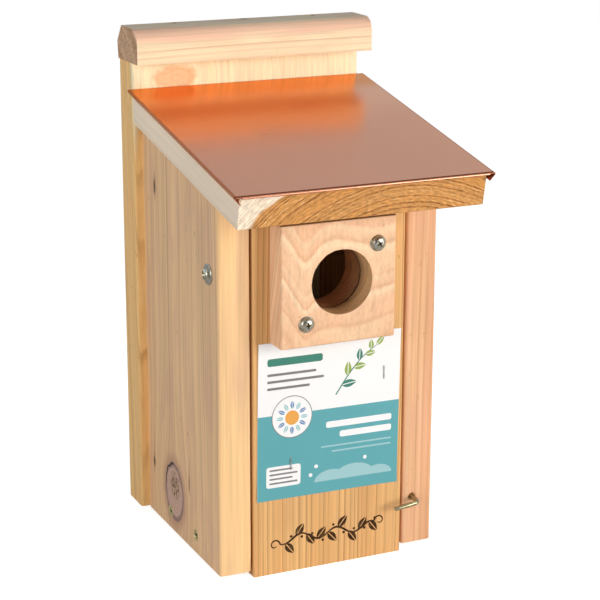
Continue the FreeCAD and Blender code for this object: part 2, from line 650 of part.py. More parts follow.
def roof_board():
    """Sloped board, plumb at the back and cut square at the front. Its origin is its top front edge."""
    body = new_body("roof_board", y="-[roof_overhang]", z=ROOF_FRONT_TOP)
    end = new_sketch(body, "end", "YZ_Plane")
    rise = f"{ROOF_RUN} * {SLOPE}"
    under = (f"[roof_thickness] * {SIN}", f"-[roof_thickness] * {COS}")
    outline(end, [("0", "0"), under, (ROOF_RUN, f"{rise} - [roof_thickness] / {COS}"), (ROOF_RUN, rise)])
    pad(body, end, f"2 * {BACK_HALF}", middle=True)
    start = f"([roof_overhang] / {COS} + [roof_screw_front] - [roof_thickness] * {SLOPE})"
    top = new_sketch(body, "top", "XY_Plane", tilt="[roof_pitch]")
    for sign in ("", "-"):
        for along in (start, f"{start} + [roof_screw_spacing]"):
            circle(top, f"{sign}{SIDE_MIDDLE}", along, FLAT_HOLE)
    drill(body, top, FLAT_HOLE, FLAT_SINK)
    rear = new_sketch(body, "rear", "XZ_Plane", lift=f"-{ROOF_RUN}")
    for sign in ("", "-"):
        circle(rear, f"{sign}[roof_back_screw_side]", f"{ROOF_BACK_RISE} - {ROOF_FRONT_TOP}", FLAT_HOLE)
    pocket(body, rear, FLAT_IN_BACK, reverse=True)
    return body


def copper_cover():
    """One bent sheet on the roof board. Its X runs across, its Y up the slope, its Z square to the sheet.

    Each side folds out past the wood and back under until its edge meets the wood. The front edge is
    turned under itself as a closed hem that stops short of the side folds.
    """
    place = {"y": "-[roof_overhang]", "z": ROOF_FRONT_TOP}
    body = new_body("copper_cover", **place, turn_axis=Vector(1, 0, 0), turn="[roof_pitch]")
    thick = "[sheet_thickness]"
    cosine = "cos([fold_angle])"
    sine = "sin([fold_angle])"
    leg = f"(({thick} + [fold_drop]) / {sine})"
    wide = f"({BACK_HALF} + {leg} * {cosine} + {thick} * {sine})"
    inner = f"({wide} - {thick} * (1 + {cosine}) / {sine})"
    tip = (f"({wide} - {leg} * {cosine})", "-[fold_drop]")
    lip = (f"({tip[0]} - {thick} * {sine})", f"({tip[1]} + {thick} * {cosine})")
    half = [(wide, thick), tip, lip, (inner, "0")]
    mirrored = [(f"-{x}", z) for x, z in reversed(half)]
    rear = f"(({ROOF_RUN} - [sheet_back_gap]) / {COS} + {thick} * {SLOPE} - [fold_drop] * {SLOPE})"
    section = new_sketch(body, "section", "XZ_Plane", lift=HEM_RUN)
    outline(section, half + mirrored)
    pad(body, section, f"{HEM_RUN} + {rear}", reverse=True)
    reach = number(body, wide)
    inside = number(body, inner)
    top = number(body, thick)
    radius = "[fold_radius]"
    ease(body, "Fillet", "Radius", radius, lambda p, t: near(abs(p.x), reach) and near(p.z, top))
    snug = f"{radius} - {thick}"
    ease(body, "Fillet", "Radius", snug, lambda p, t: near(abs(p.x), inside) and near(p.z, 0))
    front_hem(body)
    return body


def front_hem(body):
    """Half-round nose and the returned layer under the sheet's front edge."""
    hem = new_sketch(body, "hem", "YZ_Plane")
    centre = Vector(number(hem, f"-{HEM_RUN}"), number(hem, "-[hem_gap] / 2"), 0)
    up = Vector(0, 0, 1)
    outer = number(hem, HEM_RADIUS)
    small = number(hem, "[hem_gap] / 2")
    free = number(hem, "-[hem_clear]")
    levels = [centre.y + outer, centre.y + small, centre.y - small, centre.y - outer]
    inset = number(hem, f"-{HEM_RUN} + [hem_clear]")
    lines = [
        (Vector(inset, levels[1], 0), Vector(inset, levels[0], 0)),
        (Vector(inset, levels[0], 0), Vector(centre.x, levels[0], 0)),
        (Vector(centre.x, levels[3], 0), Vector(free, levels[3], 0)),
        (Vector(free, levels[3], 0), Vector(free, levels[2], 0)),
        (Vector(free, levels[2], 0), Vector(centre.x, levels[2], 0)),
        (Vector(centre.x, levels[1], 0), Vector(inset, levels[1], 0)),
    ]
    for start, end in lines:
        hem.addGeometry(Part.LineSegment(start, end), False)
    quarter = math.pi / 2
    for radius in (outer, small):
        arc = Part.ArcOfCircle(Part.Circle(centre, up, radius), quarter, 3 * quarter)
        hem.addGeometry(arc, False)
    joined = [(0, 2, 1, 1), (1, 2, 6, 1), (6, 2, 2, 1), (2, 2, 3, 1)]
    joined += [(3, 2, 4, 1), (4, 2, 7, 2), (7, 1, 5, 1), (5, 2, 0, 1)]
    for first, spot, second, other in joined:
        hem.addConstraint(Sketcher.Constraint("Coincident", first, spot, second, other))
    hem.addConstraint(Sketcher.Constraint("Coincident", 6, 3, 7, 3))
    for line in (1, 2, 4, 5):
        hem.addConstraint(Sketcher.Constraint("Horizontal", line))
    for line in (0, 3):
        hem.addConstraint(Sketcher.Constraint("Vertical", line))
    locate(hem, 6, 3, f"-{HEM_RUN}", "-[hem_gap] / 2")
    for item, text in ((6, HEM_RADIUS), (7, "[hem_gap] / 2")):
        size = hem.addConstraint(Sketcher.Constraint("Radius", item, number(hem, text)))
        bind(hem, f"Constraints[{size}]", text)
    for item, text in ((0, f"-{HEM_RUN} + [hem_clear]"), (3, "-[hem_clear]")):
        size = hem.addConstraint(Sketcher.Constraint("DistanceX", -1, 1, item, 1, number(hem, text)))
        bind(hem, f"Constraints[{size}]", text)
    pad(body, hem, f"2 * ({BACK_HALF} - [hem_clear])", middle=True)


def latch_hook():
    """Bent pin with its origin at the mouth of its bore. The arm points left in the pin's own frame."""
    across = "([inner_width] / 2 + [latch_inset])"
    place = {"x": across, "z": "[latch_height]"}
    body = new_body("latch_hook", **place, turn_axis=Vector(0, 1, 0), turn="-[latch_droop]")
    end = new_sketch(body, "end", "XZ_Plane", lift="-[latch_depth]")
    circle(end, "0", "0", "[latch_pin_diameter]")
    path = new_sketch(body, "path", "XY_Plane")
    radius = number(path, "[latch_bend]")
    straight = number(path, "[latch_stand_off] - [latch_bend]")
    depth = number(path, "[latch_depth]")
    corner = Vector(-radius, -straight, 0)
    quarter = math.pi / 2
    path.addGeometry(Part.LineSegment(Vector(0, depth, 0), Vector(0, -straight, 0)), False)
    arc = Part.ArcOfCircle(Part.Circle(corner, Vector(0, 0, 1), radius), -quarter, 0)
    path.addGeometry(arc, False)
    tip = Vector(number(path, "-[latch_arm]"), -straight - radius, 0)
    path.addGeometry(Part.LineSegment(corner - Vector(0, radius, 0), tip), False)
    path.addConstraint(Sketcher.Constraint("Coincident", 0, 2, 1, 2))
    path.addConstraint(Sketcher.Constraint("Coincident", 1, 1, 2, 1))
    locate(path, 0, 1, "0", "[latch_depth]")
    bend = path.addConstraint(Sketcher.Constraint("Radius", 1, radius))
    bind(path, f"Constraints[{bend}]", "[latch_bend]")
    locate(path, 0, 2, "0", "-([latch_stand_off] - [latch_bend])")
    locate(path, 2, 1, "-[latch_bend]", "-[latch_stand_off]")
    locate(path, 2, 2, "-[latch_arm]", "-[latch_stand_off]")
    doc.recompute()
    pipe = body.newObject("PartDesign::AdditivePipe", "latch_hook_pipe")
    pipe.Profile = end
    pipe.Spine = path
    doc.recompute()
    return body


def label_card():
    """Card under the guard block, with its origin at the middle of its top edge on the door's face."""
    body = new_body("label_card", y="-[door_proud]", z=CARD_TOP)
    face = new_sketch(body, "face", "XZ_Plane")
    rectangle(face, "-[card_width] / 2", "-[card_height]", "[card_width] / 2", "0")
    pad(body, face, "[card_thickness]")
    slots = new_sketch(body, "slots", "XZ_Plane")
    staple_legs(slots, CARD_TOP, "[staple_slot_clear]")
    pocket(body, slots)
    return body


def staple_ends(level):
    """Middle of each staple, sideways and upwards from a level."""
    right = ("[staple_right]", f"([staple_right_rise] - {level})")
    left = ("-[staple_left]", f"([staple_left_rise] - {level})")
    return right, left


def staple_legs(sketch, level, clear="0"):
    """The four leg sections of two upright staples."""
    half = f"([staple_wire] / 2 + {clear})"
    reach = "([staple_crown] / 2 - [staple_wire] / 2)"
    for x, z in staple_ends(level):
        for end in (f"({z} + {reach})", f"({z} - {reach})"):
            rectangle(sketch, f"{x} - {half}", f"{end} - {half}", f"{x} + {half}", f"{end} + {half}")


def label_staples():
    """Two wire staples over the card, with the origin on the card's face."""
    body = new_body("label_staples", y="-[door_proud] - [card_thickness]")
    crowns = new_sketch(body, "crowns", "XZ_Plane")
    for x, z in staple_ends("0"):
        left, right = f"{x} - [staple_wire] / 2", f"{x} + [staple_wire] / 2"
        rectangle(crowns, left, f"{z} - [staple_crown] / 2", right, f"{z} + [staple_crown] / 2")
    pad(body, crowns, "[staple_wire]")
    legs = new_sketch(body, "legs", "XZ_Plane")
    staple_legs(legs, "0")
    pad(body, legs, "[staple_leg] + [card_thickness]", reverse=True)
    return body


right_side = side_board("right_side", 1)
latch_bore(right_side)
parts = [
    back_board(),
    top_cap(),
    cap_nails(),
    side_board("left_side", -1),
    right_side,
    floor_board(),
    door(),
    guard_block(),
    guard_screws(),
    pivot_screw("pivot_screw_left", -1),
    pivot_screw("pivot_screw_right", 1),
    floor_screws("floor_screws_left", -1),
    floor_screws("floor_screws_right", 1),
    back_screws(),
    roof_back_screws(),
    roof_screws(),
    roof_board(),
    copper_cover(),
    latch_hook(),
    label_card(),
    label_staples(),
]
doc.recompute()

for item in doc.Objects:
    if "Invalid" in item.State or "Error" in item.State:
        raise ValueError(f"{item.Name} did not build: {item.State}")
for part in parts:
    if part.Shape.isNull() or not part.Shape.isValid():
        raise ValueError(f"{part.Label} has no valid shape")

os.makedirs("parts", exist_ok=True)
for part in parts:
    part.Shape.exportStep(f"parts/{part.Label}.step")
    print(f"{part.Label}: {len(part.Shape.Solids)} solid(s), {part.Shape.Volume / 1000:.2f} cm3")
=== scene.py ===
"""Looks of the cedar bluebird house: worn cedar, a bent copper roof, screws, a turn latch and a label."""
import logging
import math
from dataclasses import dataclass, field
from enum import Enum
from typing import Callable, NamedTuple, Optional, Sequence, Union

import bmesh
import bpy
from mathutils import Matrix, Vector, noise


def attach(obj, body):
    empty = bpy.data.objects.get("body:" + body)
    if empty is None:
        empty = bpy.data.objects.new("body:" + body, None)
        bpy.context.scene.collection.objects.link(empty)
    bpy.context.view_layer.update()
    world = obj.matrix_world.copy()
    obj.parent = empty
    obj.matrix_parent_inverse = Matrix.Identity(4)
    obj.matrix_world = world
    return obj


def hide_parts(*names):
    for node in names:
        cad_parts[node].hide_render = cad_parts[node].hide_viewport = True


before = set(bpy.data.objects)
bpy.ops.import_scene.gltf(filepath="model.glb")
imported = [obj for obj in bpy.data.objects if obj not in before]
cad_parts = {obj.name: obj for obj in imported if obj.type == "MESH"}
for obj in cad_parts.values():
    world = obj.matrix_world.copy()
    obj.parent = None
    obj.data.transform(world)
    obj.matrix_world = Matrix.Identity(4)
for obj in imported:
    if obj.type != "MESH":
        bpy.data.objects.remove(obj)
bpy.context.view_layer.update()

LOG = logging.getLogger("bluebird_house")

Rgb = tuple[float, float, float]
Point = tuple[float, float, float]
Flat = tuple[float, float]
Socket = bpy.types.NodeSocket
Value = Union[float, Socket]
Tint = Union[Rgb, Socket]
Material = bpy.types.Material
Mesh = bmesh.types.BMesh
Corner = bmesh.types.BMVert
Thing = bpy.types.Object

MM = 0.001
NOWHERE = (0.0, 0.0, 0.0)
EVEN = (1.0, 1.0, 1.0)
WHITE = (1.0, 1.0, 1.0)
ROOF_PITCH = 10.7


class Grain(Enum):
    """The way a board's grain runs."""

    UP = (0.0, 0.0, 1.0)
    ACROSS = (1.0, 0.0, 0.0)
    LEVEL = (0.0, 1.0, 0.0)
    BACK = (0.0, math.cos(math.radians(ROOF_PITCH)), math.sin(math.radians(ROOF_PITCH)))


class Cut(Enum):
    """How a face of a board was cut."""

    PLANED = "planed"
    END = "end"
    BORED = "bored"
    BURNT = "burnt"


SAWN = (Cut.PLANED, Cut.END, Cut.BORED)
SMOOTH = (Cut.PLANED, Cut.BURNT)


class Branch(Enum):
    """What a branch left in a board."""

    OVAL = "sound oval knot"
    PIN = "dead pin knot"
    FLAME = "flame figure"
    GONE = "cut away with the entrance"


class Head(Enum):
    """The shape of a screw's head."""

    PAN = "pan"
    WASHER = "washer"
    FLAT = "flat"


class Sums:
    """The shader nodes of one tree, written as short sums."""

    def __init__(self, tree: bpy.types.NodeTree) -> None:
        """Takes over a tree of nodes and empties it."""
        self.tree = tree
        tree.nodes.clear()

    def new(self, kind: str) -> bpy.types.Node:
        """A new node, by Blender's name of its kind."""
        return self.tree.nodes.new(f"ShaderNode{kind}")

    def plug(self, value: Union[Value, Sequence[float]], socket: Socket) -> None:
        """Links a socket to another, or writes a number or colour on it.

        Args:
            value: the other socket, the number or the colour.
            socket: the socket that takes it.
        """
        if isinstance(value, bpy.types.NodeSocket):
            self.tree.links.new(value, socket)
        elif isinstance(value, (int, float)):
            socket.default_value = value
        else:
            size = len(socket.default_value)
            socket.default_value = (*value, 1.0)[:size]

    def number(self, operation: str, first: Value, second: Value = 0.0) -> Socket:
        """One step of arithmetic.

        Args:
            operation: Blender's name of the step.
            first: the first number or socket.
            second: the second one, where the step has it.

        Returns:
            The result's socket.
        """
        node = self.new("Math")
        node.operation = operation
        self.plug(first, node.inputs[0])
        self.plug(second, node.inputs[1])
        return node.outputs[0]

    def total(self, first: Value, *others: Value) -> Socket:
        """The sum of several values.

        Args:
            first: the first value.
            *others: the values that are added.

        Returns:
            The sum's socket.
        """
        for value in others:
            first = self.number("ADD", first, value)
        return first

    def times(self, first: Value, *others: Value) -> Socket:
        """The product of several values.

        Args:
            first: the first value.
            *others: its factors.

        Returns:
            The product's socket.
        """
        for value in others:
            first = self.number("MULTIPLY", first, value)
        return first

    def vector(self, operation: str, first: Tint, second: Tint = NOWHERE) -> Socket:
        """One step of arithmetic on points.

        Args:
            operation: Blender's name of the step.
            first: the first point.
            second: the second point, where the step has it.

        Returns:
            The result's socket, a number for a length and a point otherwise.
        """
        node = self.new("VectorMath")
        node.operation = operation
        self.plug(first, node.inputs[0])
        self.plug(second, node.inputs[1])
        return node.outputs["Value" if operation == "LENGTH" else "Vector"]

    def scaled(self, point: Tint, factor: Value) -> Socket:
        """A point or colour times a number.

        Args:
            point: the point or colour.
            factor: the number.

        Returns:
            The product's socket.
        """
        node = self.new("VectorMath")
        node.operation = "SCALE"
        self.plug(point, node.inputs[0])
        self.plug(factor, node.inputs["Scale"])
        return node.outputs["Vector"]

    def parts(self, point: Socket) -> tuple[Socket, Socket, Socket]:
        """A point's x, y and z.

        Args:
            point: the point.

        Returns:
            Their three sockets.
        """
        node = self.new("SeparateXYZ")
        self.plug(point, node.inputs[0])
        return node.outputs[0], node.outputs[1], node.outputs[2]

    def join(self, x: Value, y: Value, z: Value) -> Socket:
        """A point from its x, y and z.

        Args:
            x: its x.
            y: its y.
            z: its z.

        Returns:
            The point's socket.
        """
        node = self.new("CombineXYZ")
        for value, socket in zip((x, y, z), node.inputs):
            self.plug(value, socket)
        return node.outputs[0]

    def rise(
        self, value: Value, low: Value, high: Value, to_low: Value = 0.0, to_high: Value = 1.0
    ) -> Socket:
        """A smooth step, which falls where low is above high.

        Args:
            value: the value that drives it.
            low: where the step starts.
            high: where the step ends.
            to_low: the result up to the start.
            to_high: the result from the end on.

        Returns:
            The result's socket.
        """
        node = self.new("MapRange")
        node.interpolation_type = "SMOOTHSTEP"
        names = ("Value", "From Min", "From Max", "To Min", "To Max")
        for name, number in zip(names, (value, low, high, to_low, to_high)):
            self.plug(number, node.inputs[name])
        return node.outputs[0]

    def ramp(self, share: Socket, stops: Sequence[tuple[float, Union[float, Rgb]]]) -> Socket:
        """A curve through stops.

        Args:
            share: the place along the curve, from 0 to 1.
            stops: places with the height or the colour there.

        Returns:
            The socket of the curve's height or colour.
        """
        node = self.new("ValToRGB")
        self.plug(share, node.inputs[0])
        band = node.color_ramp
        while len(band.elements) < len(stops):
            band.elements.new(0.5)
        for element, (place, height) in zip(band.elements, stops):
            element.position = place
            colour = height if isinstance(height, tuple) else (height, height, height)
            element.color = (*colour, 1.0)
        return node.outputs[0]

    def mix(self, share: Value, first: Tint, second: Tint) -> Socket:
        """Two colours mixed.

        Args:
            share: how much of the second one.
            first: the first colour.
            second: the second colour.

        Returns:
            The mixed colour's socket.
        """
        node = self.new("Mix")
        node.data_type = "RGBA"
        for value, number in ((share, 0), (first, 6), (second, 7)):
            self.plug(value, node.inputs[number])
        return node.outputs[2]

    def light(self, kind: str, colour: Tint, strength: Value) -> Socket:
        """Even light.

        Args:
            kind: Background for a sky or Emission for a surface.
            colour: its colour.
            strength: its strength.

        Returns:
            The socket of its shader.
        """
        node = self.new(kind)
        self.plug(colour, node.inputs["Color"])
        self.plug(strength, node.inputs["Strength"])
        return node.outputs[0]

    def blend(self, share: Value, first: Socket, second: Socket) -> Socket:
        """Two shaders mixed.

        Args:
            share: how much of the second one.
            first: the first shader.
            second: the second shader.

        Returns:
            The mixed shader's socket.
        """
        node = self.new("MixShader")
        for value, socket in zip((share, first, second), node.inputs):
            self.plug(value, socket)
        return node.outputs[0]


class Recipe(Sums):
    """The nodes of one finish."""

    def __init__(self, name: str) -> None:
        """Starts a material with a shader and an output.

        Args:
            name: the finish's name.
        """
        self.material = bpy.data.materials.new(name)
        self.material.use_nodes = True
        super().__init__(self.material.node_tree)
        self.shader = self.new("BsdfPrincipled")
        self.surface = self.new("OutputMaterial").inputs["Surface"]
        self.plug(self.shader.outputs[0], self.surface)

    def set(self, **values: Union[Value, Sequence[float]]) -> None:
        """Sets inputs of the shader by their names, with _ for a space."""
        for name, value in values.items():
            self.plug(value, self.shader.inputs[name.replace("_", " ")])

    def place(self) -> Socket:
        """The point on the object, in metres, which moves with the piece."""
        return self.new("TexCoord").outputs["Object"]

    def inside(self, point: Socket, centre: Point, turn: Point) -> Socket:
        """A point as seen from a turned frame.

        Args:
            point: the point.
            centre: the frame's origin.
            turn: the frame's turn, in degrees.

        Returns:
            The point in that frame.
        """
        node = self.new("Mapping")
        node.vector_type = "TEXTURE"
        self.plug(point, node.inputs["Vector"])
        self.plug(centre, node.inputs["Location"])
        self.plug(tuple(math.radians(angle) for angle in turn), node.inputs["Rotation"])
        return node.outputs[0]

    def noise(self, point: Socket, scale: float, detail: float, stretch: Point) -> bpy.types.Node:
        """A noise node.

        Args:
            point: where it is read.
            scale: cells per metre.
            detail: how many finer layers it has.
            stretch: factors on the point, below 1 for long cells.

        Returns:
            The node.
        """
        if stretch != EVEN:
            point = self.vector("MULTIPLY", point, stretch)
        node = self.new("TexNoise")
        self.plug(point, node.inputs["Vector"])
        self.plug(scale, node.inputs["Scale"])
        self.plug(detail, node.inputs["Detail"])
        return node

    def cloud(self, point: Socket, scale: float, detail: float = 2.0, stretch: Point = EVEN) -> Socket:
        """Soft noise around 0.5."""
        return self.noise(point, scale, detail, stretch).outputs["Fac"]

    def sway(self, point: Socket, scale: float, detail: float, stretch: Point) -> Socket:
        """Three soft noises around 0, as a point."""
        colour = self.noise(point, scale, detail, stretch).outputs["Color"]
        return self.vector("SUBTRACT", colour, (0.5, 0.5, 0.5))

    def row(self, value: Value, scale: float, detail: float = 1.0) -> Socket:
        """Soft noise along one number.

        Args:
            value: where it is read.
            scale: cells per metre.
            detail: how many finer layers it has.

        Returns:
            The noise's socket.
        """
        node = self.new("TexNoise")
        node.noise_dimensions = "1D"
        for name, number in (("W", value), ("Scale", scale), ("Detail", detail)):
            self.plug(number, node.inputs[name])
        return node.outputs["Fac"]

    def dice(self, value: Value) -> Socket:
        """A random share for each whole number.

        Args:
            value: the number.

        Returns:
            The share's socket.
        """
        node = self.new("TexWhiteNoise")
        node.noise_dimensions = "1D"
        self.plug(value, node.inputs["W"])
        return node.outputs["Value"]

    def relief(self, height: Socket, depth: float, under: Optional[Socket] = None) -> Socket:
        """A bumpy surface.

        Args:
            height: the relief, from 0 to 1.
            depth: what 1 is in metres.
            under: a surface below it.

        Returns:
            The normal's socket.
        """
        node = self.new("Bump")
        self.plug(1.0, node.inputs["Strength"])
        self.plug(depth, node.inputs["Distance"])
        self.plug(height, node.inputs["Height"])
        if under is not None:
            self.plug(under, node.inputs["Normal"])
        return node.outputs[0]


PIN_HALO = (0.36, 0.19, 0.10)
PIN_HEART = (0.085, 0.04, 0.026)
PIN_STREAK = (0.24, 0.11, 0.05)
FLAME_PINK = (0.905, 0.54, 0.28)
FLAME_ARC = (0.60, 0.27, 0.11)
OVAL_HALO = (0.52, 0.29, 0.19)
OVAL_PALE = (0.65, 0.43, 0.34)
OVAL_RING = (0.48, 0.30, 0.23)
OVAL_MIDDLE = (0.44, 0.30, 0.16)
OVAL_SPECK = (0.10, 0.045, 0.012)
OVAL_BARK = (0.20, 0.11, 0.11)
OVAL_SHAKE = (0.02, 0.012, 0.012)


@dataclass(frozen=True)
class Knot:
    """A branch's mark in a board. Grain bends round it.

    Attributes:
        centre: its middle, in metres.
        half: its half sizes, in metres.
        kind: what the branch left.
        bend: how strongly the grain gives way to it.
        tail: how far a pin knot's streak rises, in metres.
        reach: how many half sizes away the grain still gives way.
        pith: the y and z of its speckled heart from its middle, in metres.
        pith_half: the half sizes of that heart, in metres.
    """

    centre: Point
    half: Point
    kind: Branch = Branch.OVAL
    bend: float = 0.75
    tail: float = 0.0
    reach: Point = (1.7, 1.7, 2.1)
    pith: Flat = (-0.001, 0.0045)
    pith_half: Flat = (0.0075, 0.0085)

    def ragged(self) -> float:
        """How far the knot's rim wanders, as a share of its size."""
        return {Branch.PIN: 0.5, Branch.FLAME: 0.7}.get(self.kind, 0.16)

    def bent(self, nodes: Recipe, place: Socket) -> Socket:
        """A point moved back to where the grain would be without the knot.

        Args:
            nodes: the finish that asks.
            place: the point.

        Returns:
            The moved point.
        """
        away = nodes.vector("SUBTRACT", place, self.centre)
        wide = tuple(half * factor for half, factor in zip(self.half, self.reach))
        far = nodes.vector("LENGTH", nodes.vector("DIVIDE", away, wide))
        near = nodes.number("POWER", 2.718, nodes.times(far, far, -1.0))
        return nodes.vector("SUBTRACT", place, nodes.scaled(away, nodes.times(near, self.bend)))

    def paint(self, nodes: Recipe, colour: Socket, place: Socket) -> Socket:
        """Colours the knot and the wood round it.

        Args:
            nodes: the finish that asks.
            colour: the board's colour.
            place: the point.

        Returns:
            The new colour.
        """
        if self.kind is Branch.GONE:
            return colour
        offset = nodes.vector("SUBTRACT", place, self.centre)
        far = nodes.vector("LENGTH", nodes.vector("DIVIDE", offset, self.half))
        wander = nodes.times(nodes.cloud(place, 160.0), self.ragged())
        far = nodes.total(far, wander, -0.5 * self.ragged())
        if self.kind is Branch.PIN:
            return self.paint_pin(nodes, colour, far, offset)
        if self.kind is Branch.FLAME:
            return self.paint_flame(nodes, colour, far, place)
        return self.paint_oval(nodes, colour, far, place, offset)

    def paint_pin(self, nodes: Recipe, colour: Socket, far: Socket, offset: Socket) -> Socket:
        """A small dark knot with a streak that rises from it.

        Args:
            nodes: the finish that asks.
            colour: the board's colour.
            far: how far the point is from the middle, with 1 at the rim.
            offset: the point as seen from the middle.

        Returns:
            The new colour.
        """
        _, y, z = nodes.parts(offset)
        colour = nodes.mix(nodes.times(nodes.rise(far, 2.4, 1.0), 0.35), colour, PIN_HALO)
        colour = nodes.mix(nodes.times(nodes.rise(far, 1.1, 0.8), 0.85), colour, PIN_HEART)
        side = nodes.number("ABSOLUTE", nodes.total(y, nodes.times(z, 0.05)))
        line = nodes.rise(side, 0.0008, 0.0002)
        above = nodes.rise(z, self.tail, 0.2 * self.tail)
        below = nodes.rise(z, -0.4 * self.tail - 0.001, 0.0)
        return nodes.mix(nodes.times(nodes.times(line, above, below), 0.62), colour, PIN_STREAK)

    def paint_flame(self, nodes: Recipe, colour: Socket, far: Socket, place: Socket) -> Socket:
        """Pink wood with darker arcs where the grain dives towards a branch.

        Args:
            nodes: the finish that asks.
            colour: the board's colour.
            far: how far the point is from the middle, with 1 at the rim.
            place: the point.

        Returns:
            The new colour.
        """
        wander = nodes.times(nodes.cloud(place, 150.0), 1.1)
        arcs = nodes.number("FRACT", nodes.total(nodes.times(far, 1.9), wander))
        colour = nodes.mix(nodes.times(nodes.rise(far, 1.1, 0.75), 0.75), colour, FLAME_PINK)
        arc = nodes.times(nodes.rise(arcs, 0.7, 0.95), nodes.rise(far, 1.1, 0.8), 0.2)
        return nodes.mix(arc, colour, FLAME_ARC)

    def paint_oval(self, nodes: Recipe, colour: Socket, far: Socket, place: Socket, offset: Socket) -> Socket:
        """A tight knot: its rings, its dark bark line, pith specks and the shake at its upper rim.

        Args:
            nodes: the finish that asks.
            colour: the board's colour.
            far: how far the point is from the middle, with 1 at the rim.
            place: the point.
            offset: the point as seen from the middle.

        Returns:
            The new colour.
        """
        _, y, z = nodes.parts(offset)
        colour = nodes.mix(nodes.times(nodes.rise(far, 1.5, 1.0), 0.7), colour, OVAL_HALO)
        wander = nodes.times(nodes.cloud(place, 240.0), 1.2)
        rings = nodes.number("FRACT", nodes.total(nodes.times(far, 6.0), wander))
        face = nodes.mix(nodes.times(nodes.rise(rings, 0.2, 0.9), 0.5), OVAL_PALE, OVAL_RING)
        across = nodes.times(nodes.total(y, -self.pith[0]), 1.0 / self.pith_half[0])
        upward = nodes.times(nodes.total(z, -self.pith[1]), 1.0 / self.pith_half[1])
        middle = nodes.rise(nodes.vector("LENGTH", nodes.join(0.0, across, upward)), 1.4, 0.5)
        crumbs = nodes.total(nodes.cloud(place, 560.0, 3.0, (1.0, 1.0, 0.6)), nodes.times(middle, 0.07))
        specks = nodes.rise(crumbs, 0.56, 0.62)
        face = nodes.mix(nodes.times(middle, 0.5), face, OVAL_MIDDLE)
        face = nodes.mix(nodes.times(specks, middle, 0.95), face, OVAL_SPECK)
        bark = nodes.times(nodes.rise(far, 0.80, 0.92), nodes.rise(far, 1.08, 1.0))
        face = nodes.mix(nodes.times(bark, 0.75), face, OVAL_BARK)
        tilted = nodes.total(nodes.times(z, 1.0 / self.half[2]), nodes.times(y, 0.9 / self.half[1]))
        upper = nodes.rise(tilted, 0.85, 1.15)
        shake = nodes.times(nodes.rise(far, 0.89, 0.94), nodes.rise(far, 1.01, 0.98), upper)
        face = nodes.mix(shake, face, OVAL_SHAKE)
        return nodes.mix(nodes.rise(far, 1.03, 0.97), colour, face)


class Figure(NamedTuple):
    """How the tree grew at a point, which every cut of a board shows in its own way."""

    place: Socket
    wood: Socket
    bent: Socket
    radius: Socket
    late: Socket
    early: Socket
    tone: Socket
    broad: Socket


class Face(NamedTuple):
    """What a way of cutting makes of the figure."""

    colour: Socket
    grit: Socket
    roughness: Socket
    normal: Socket


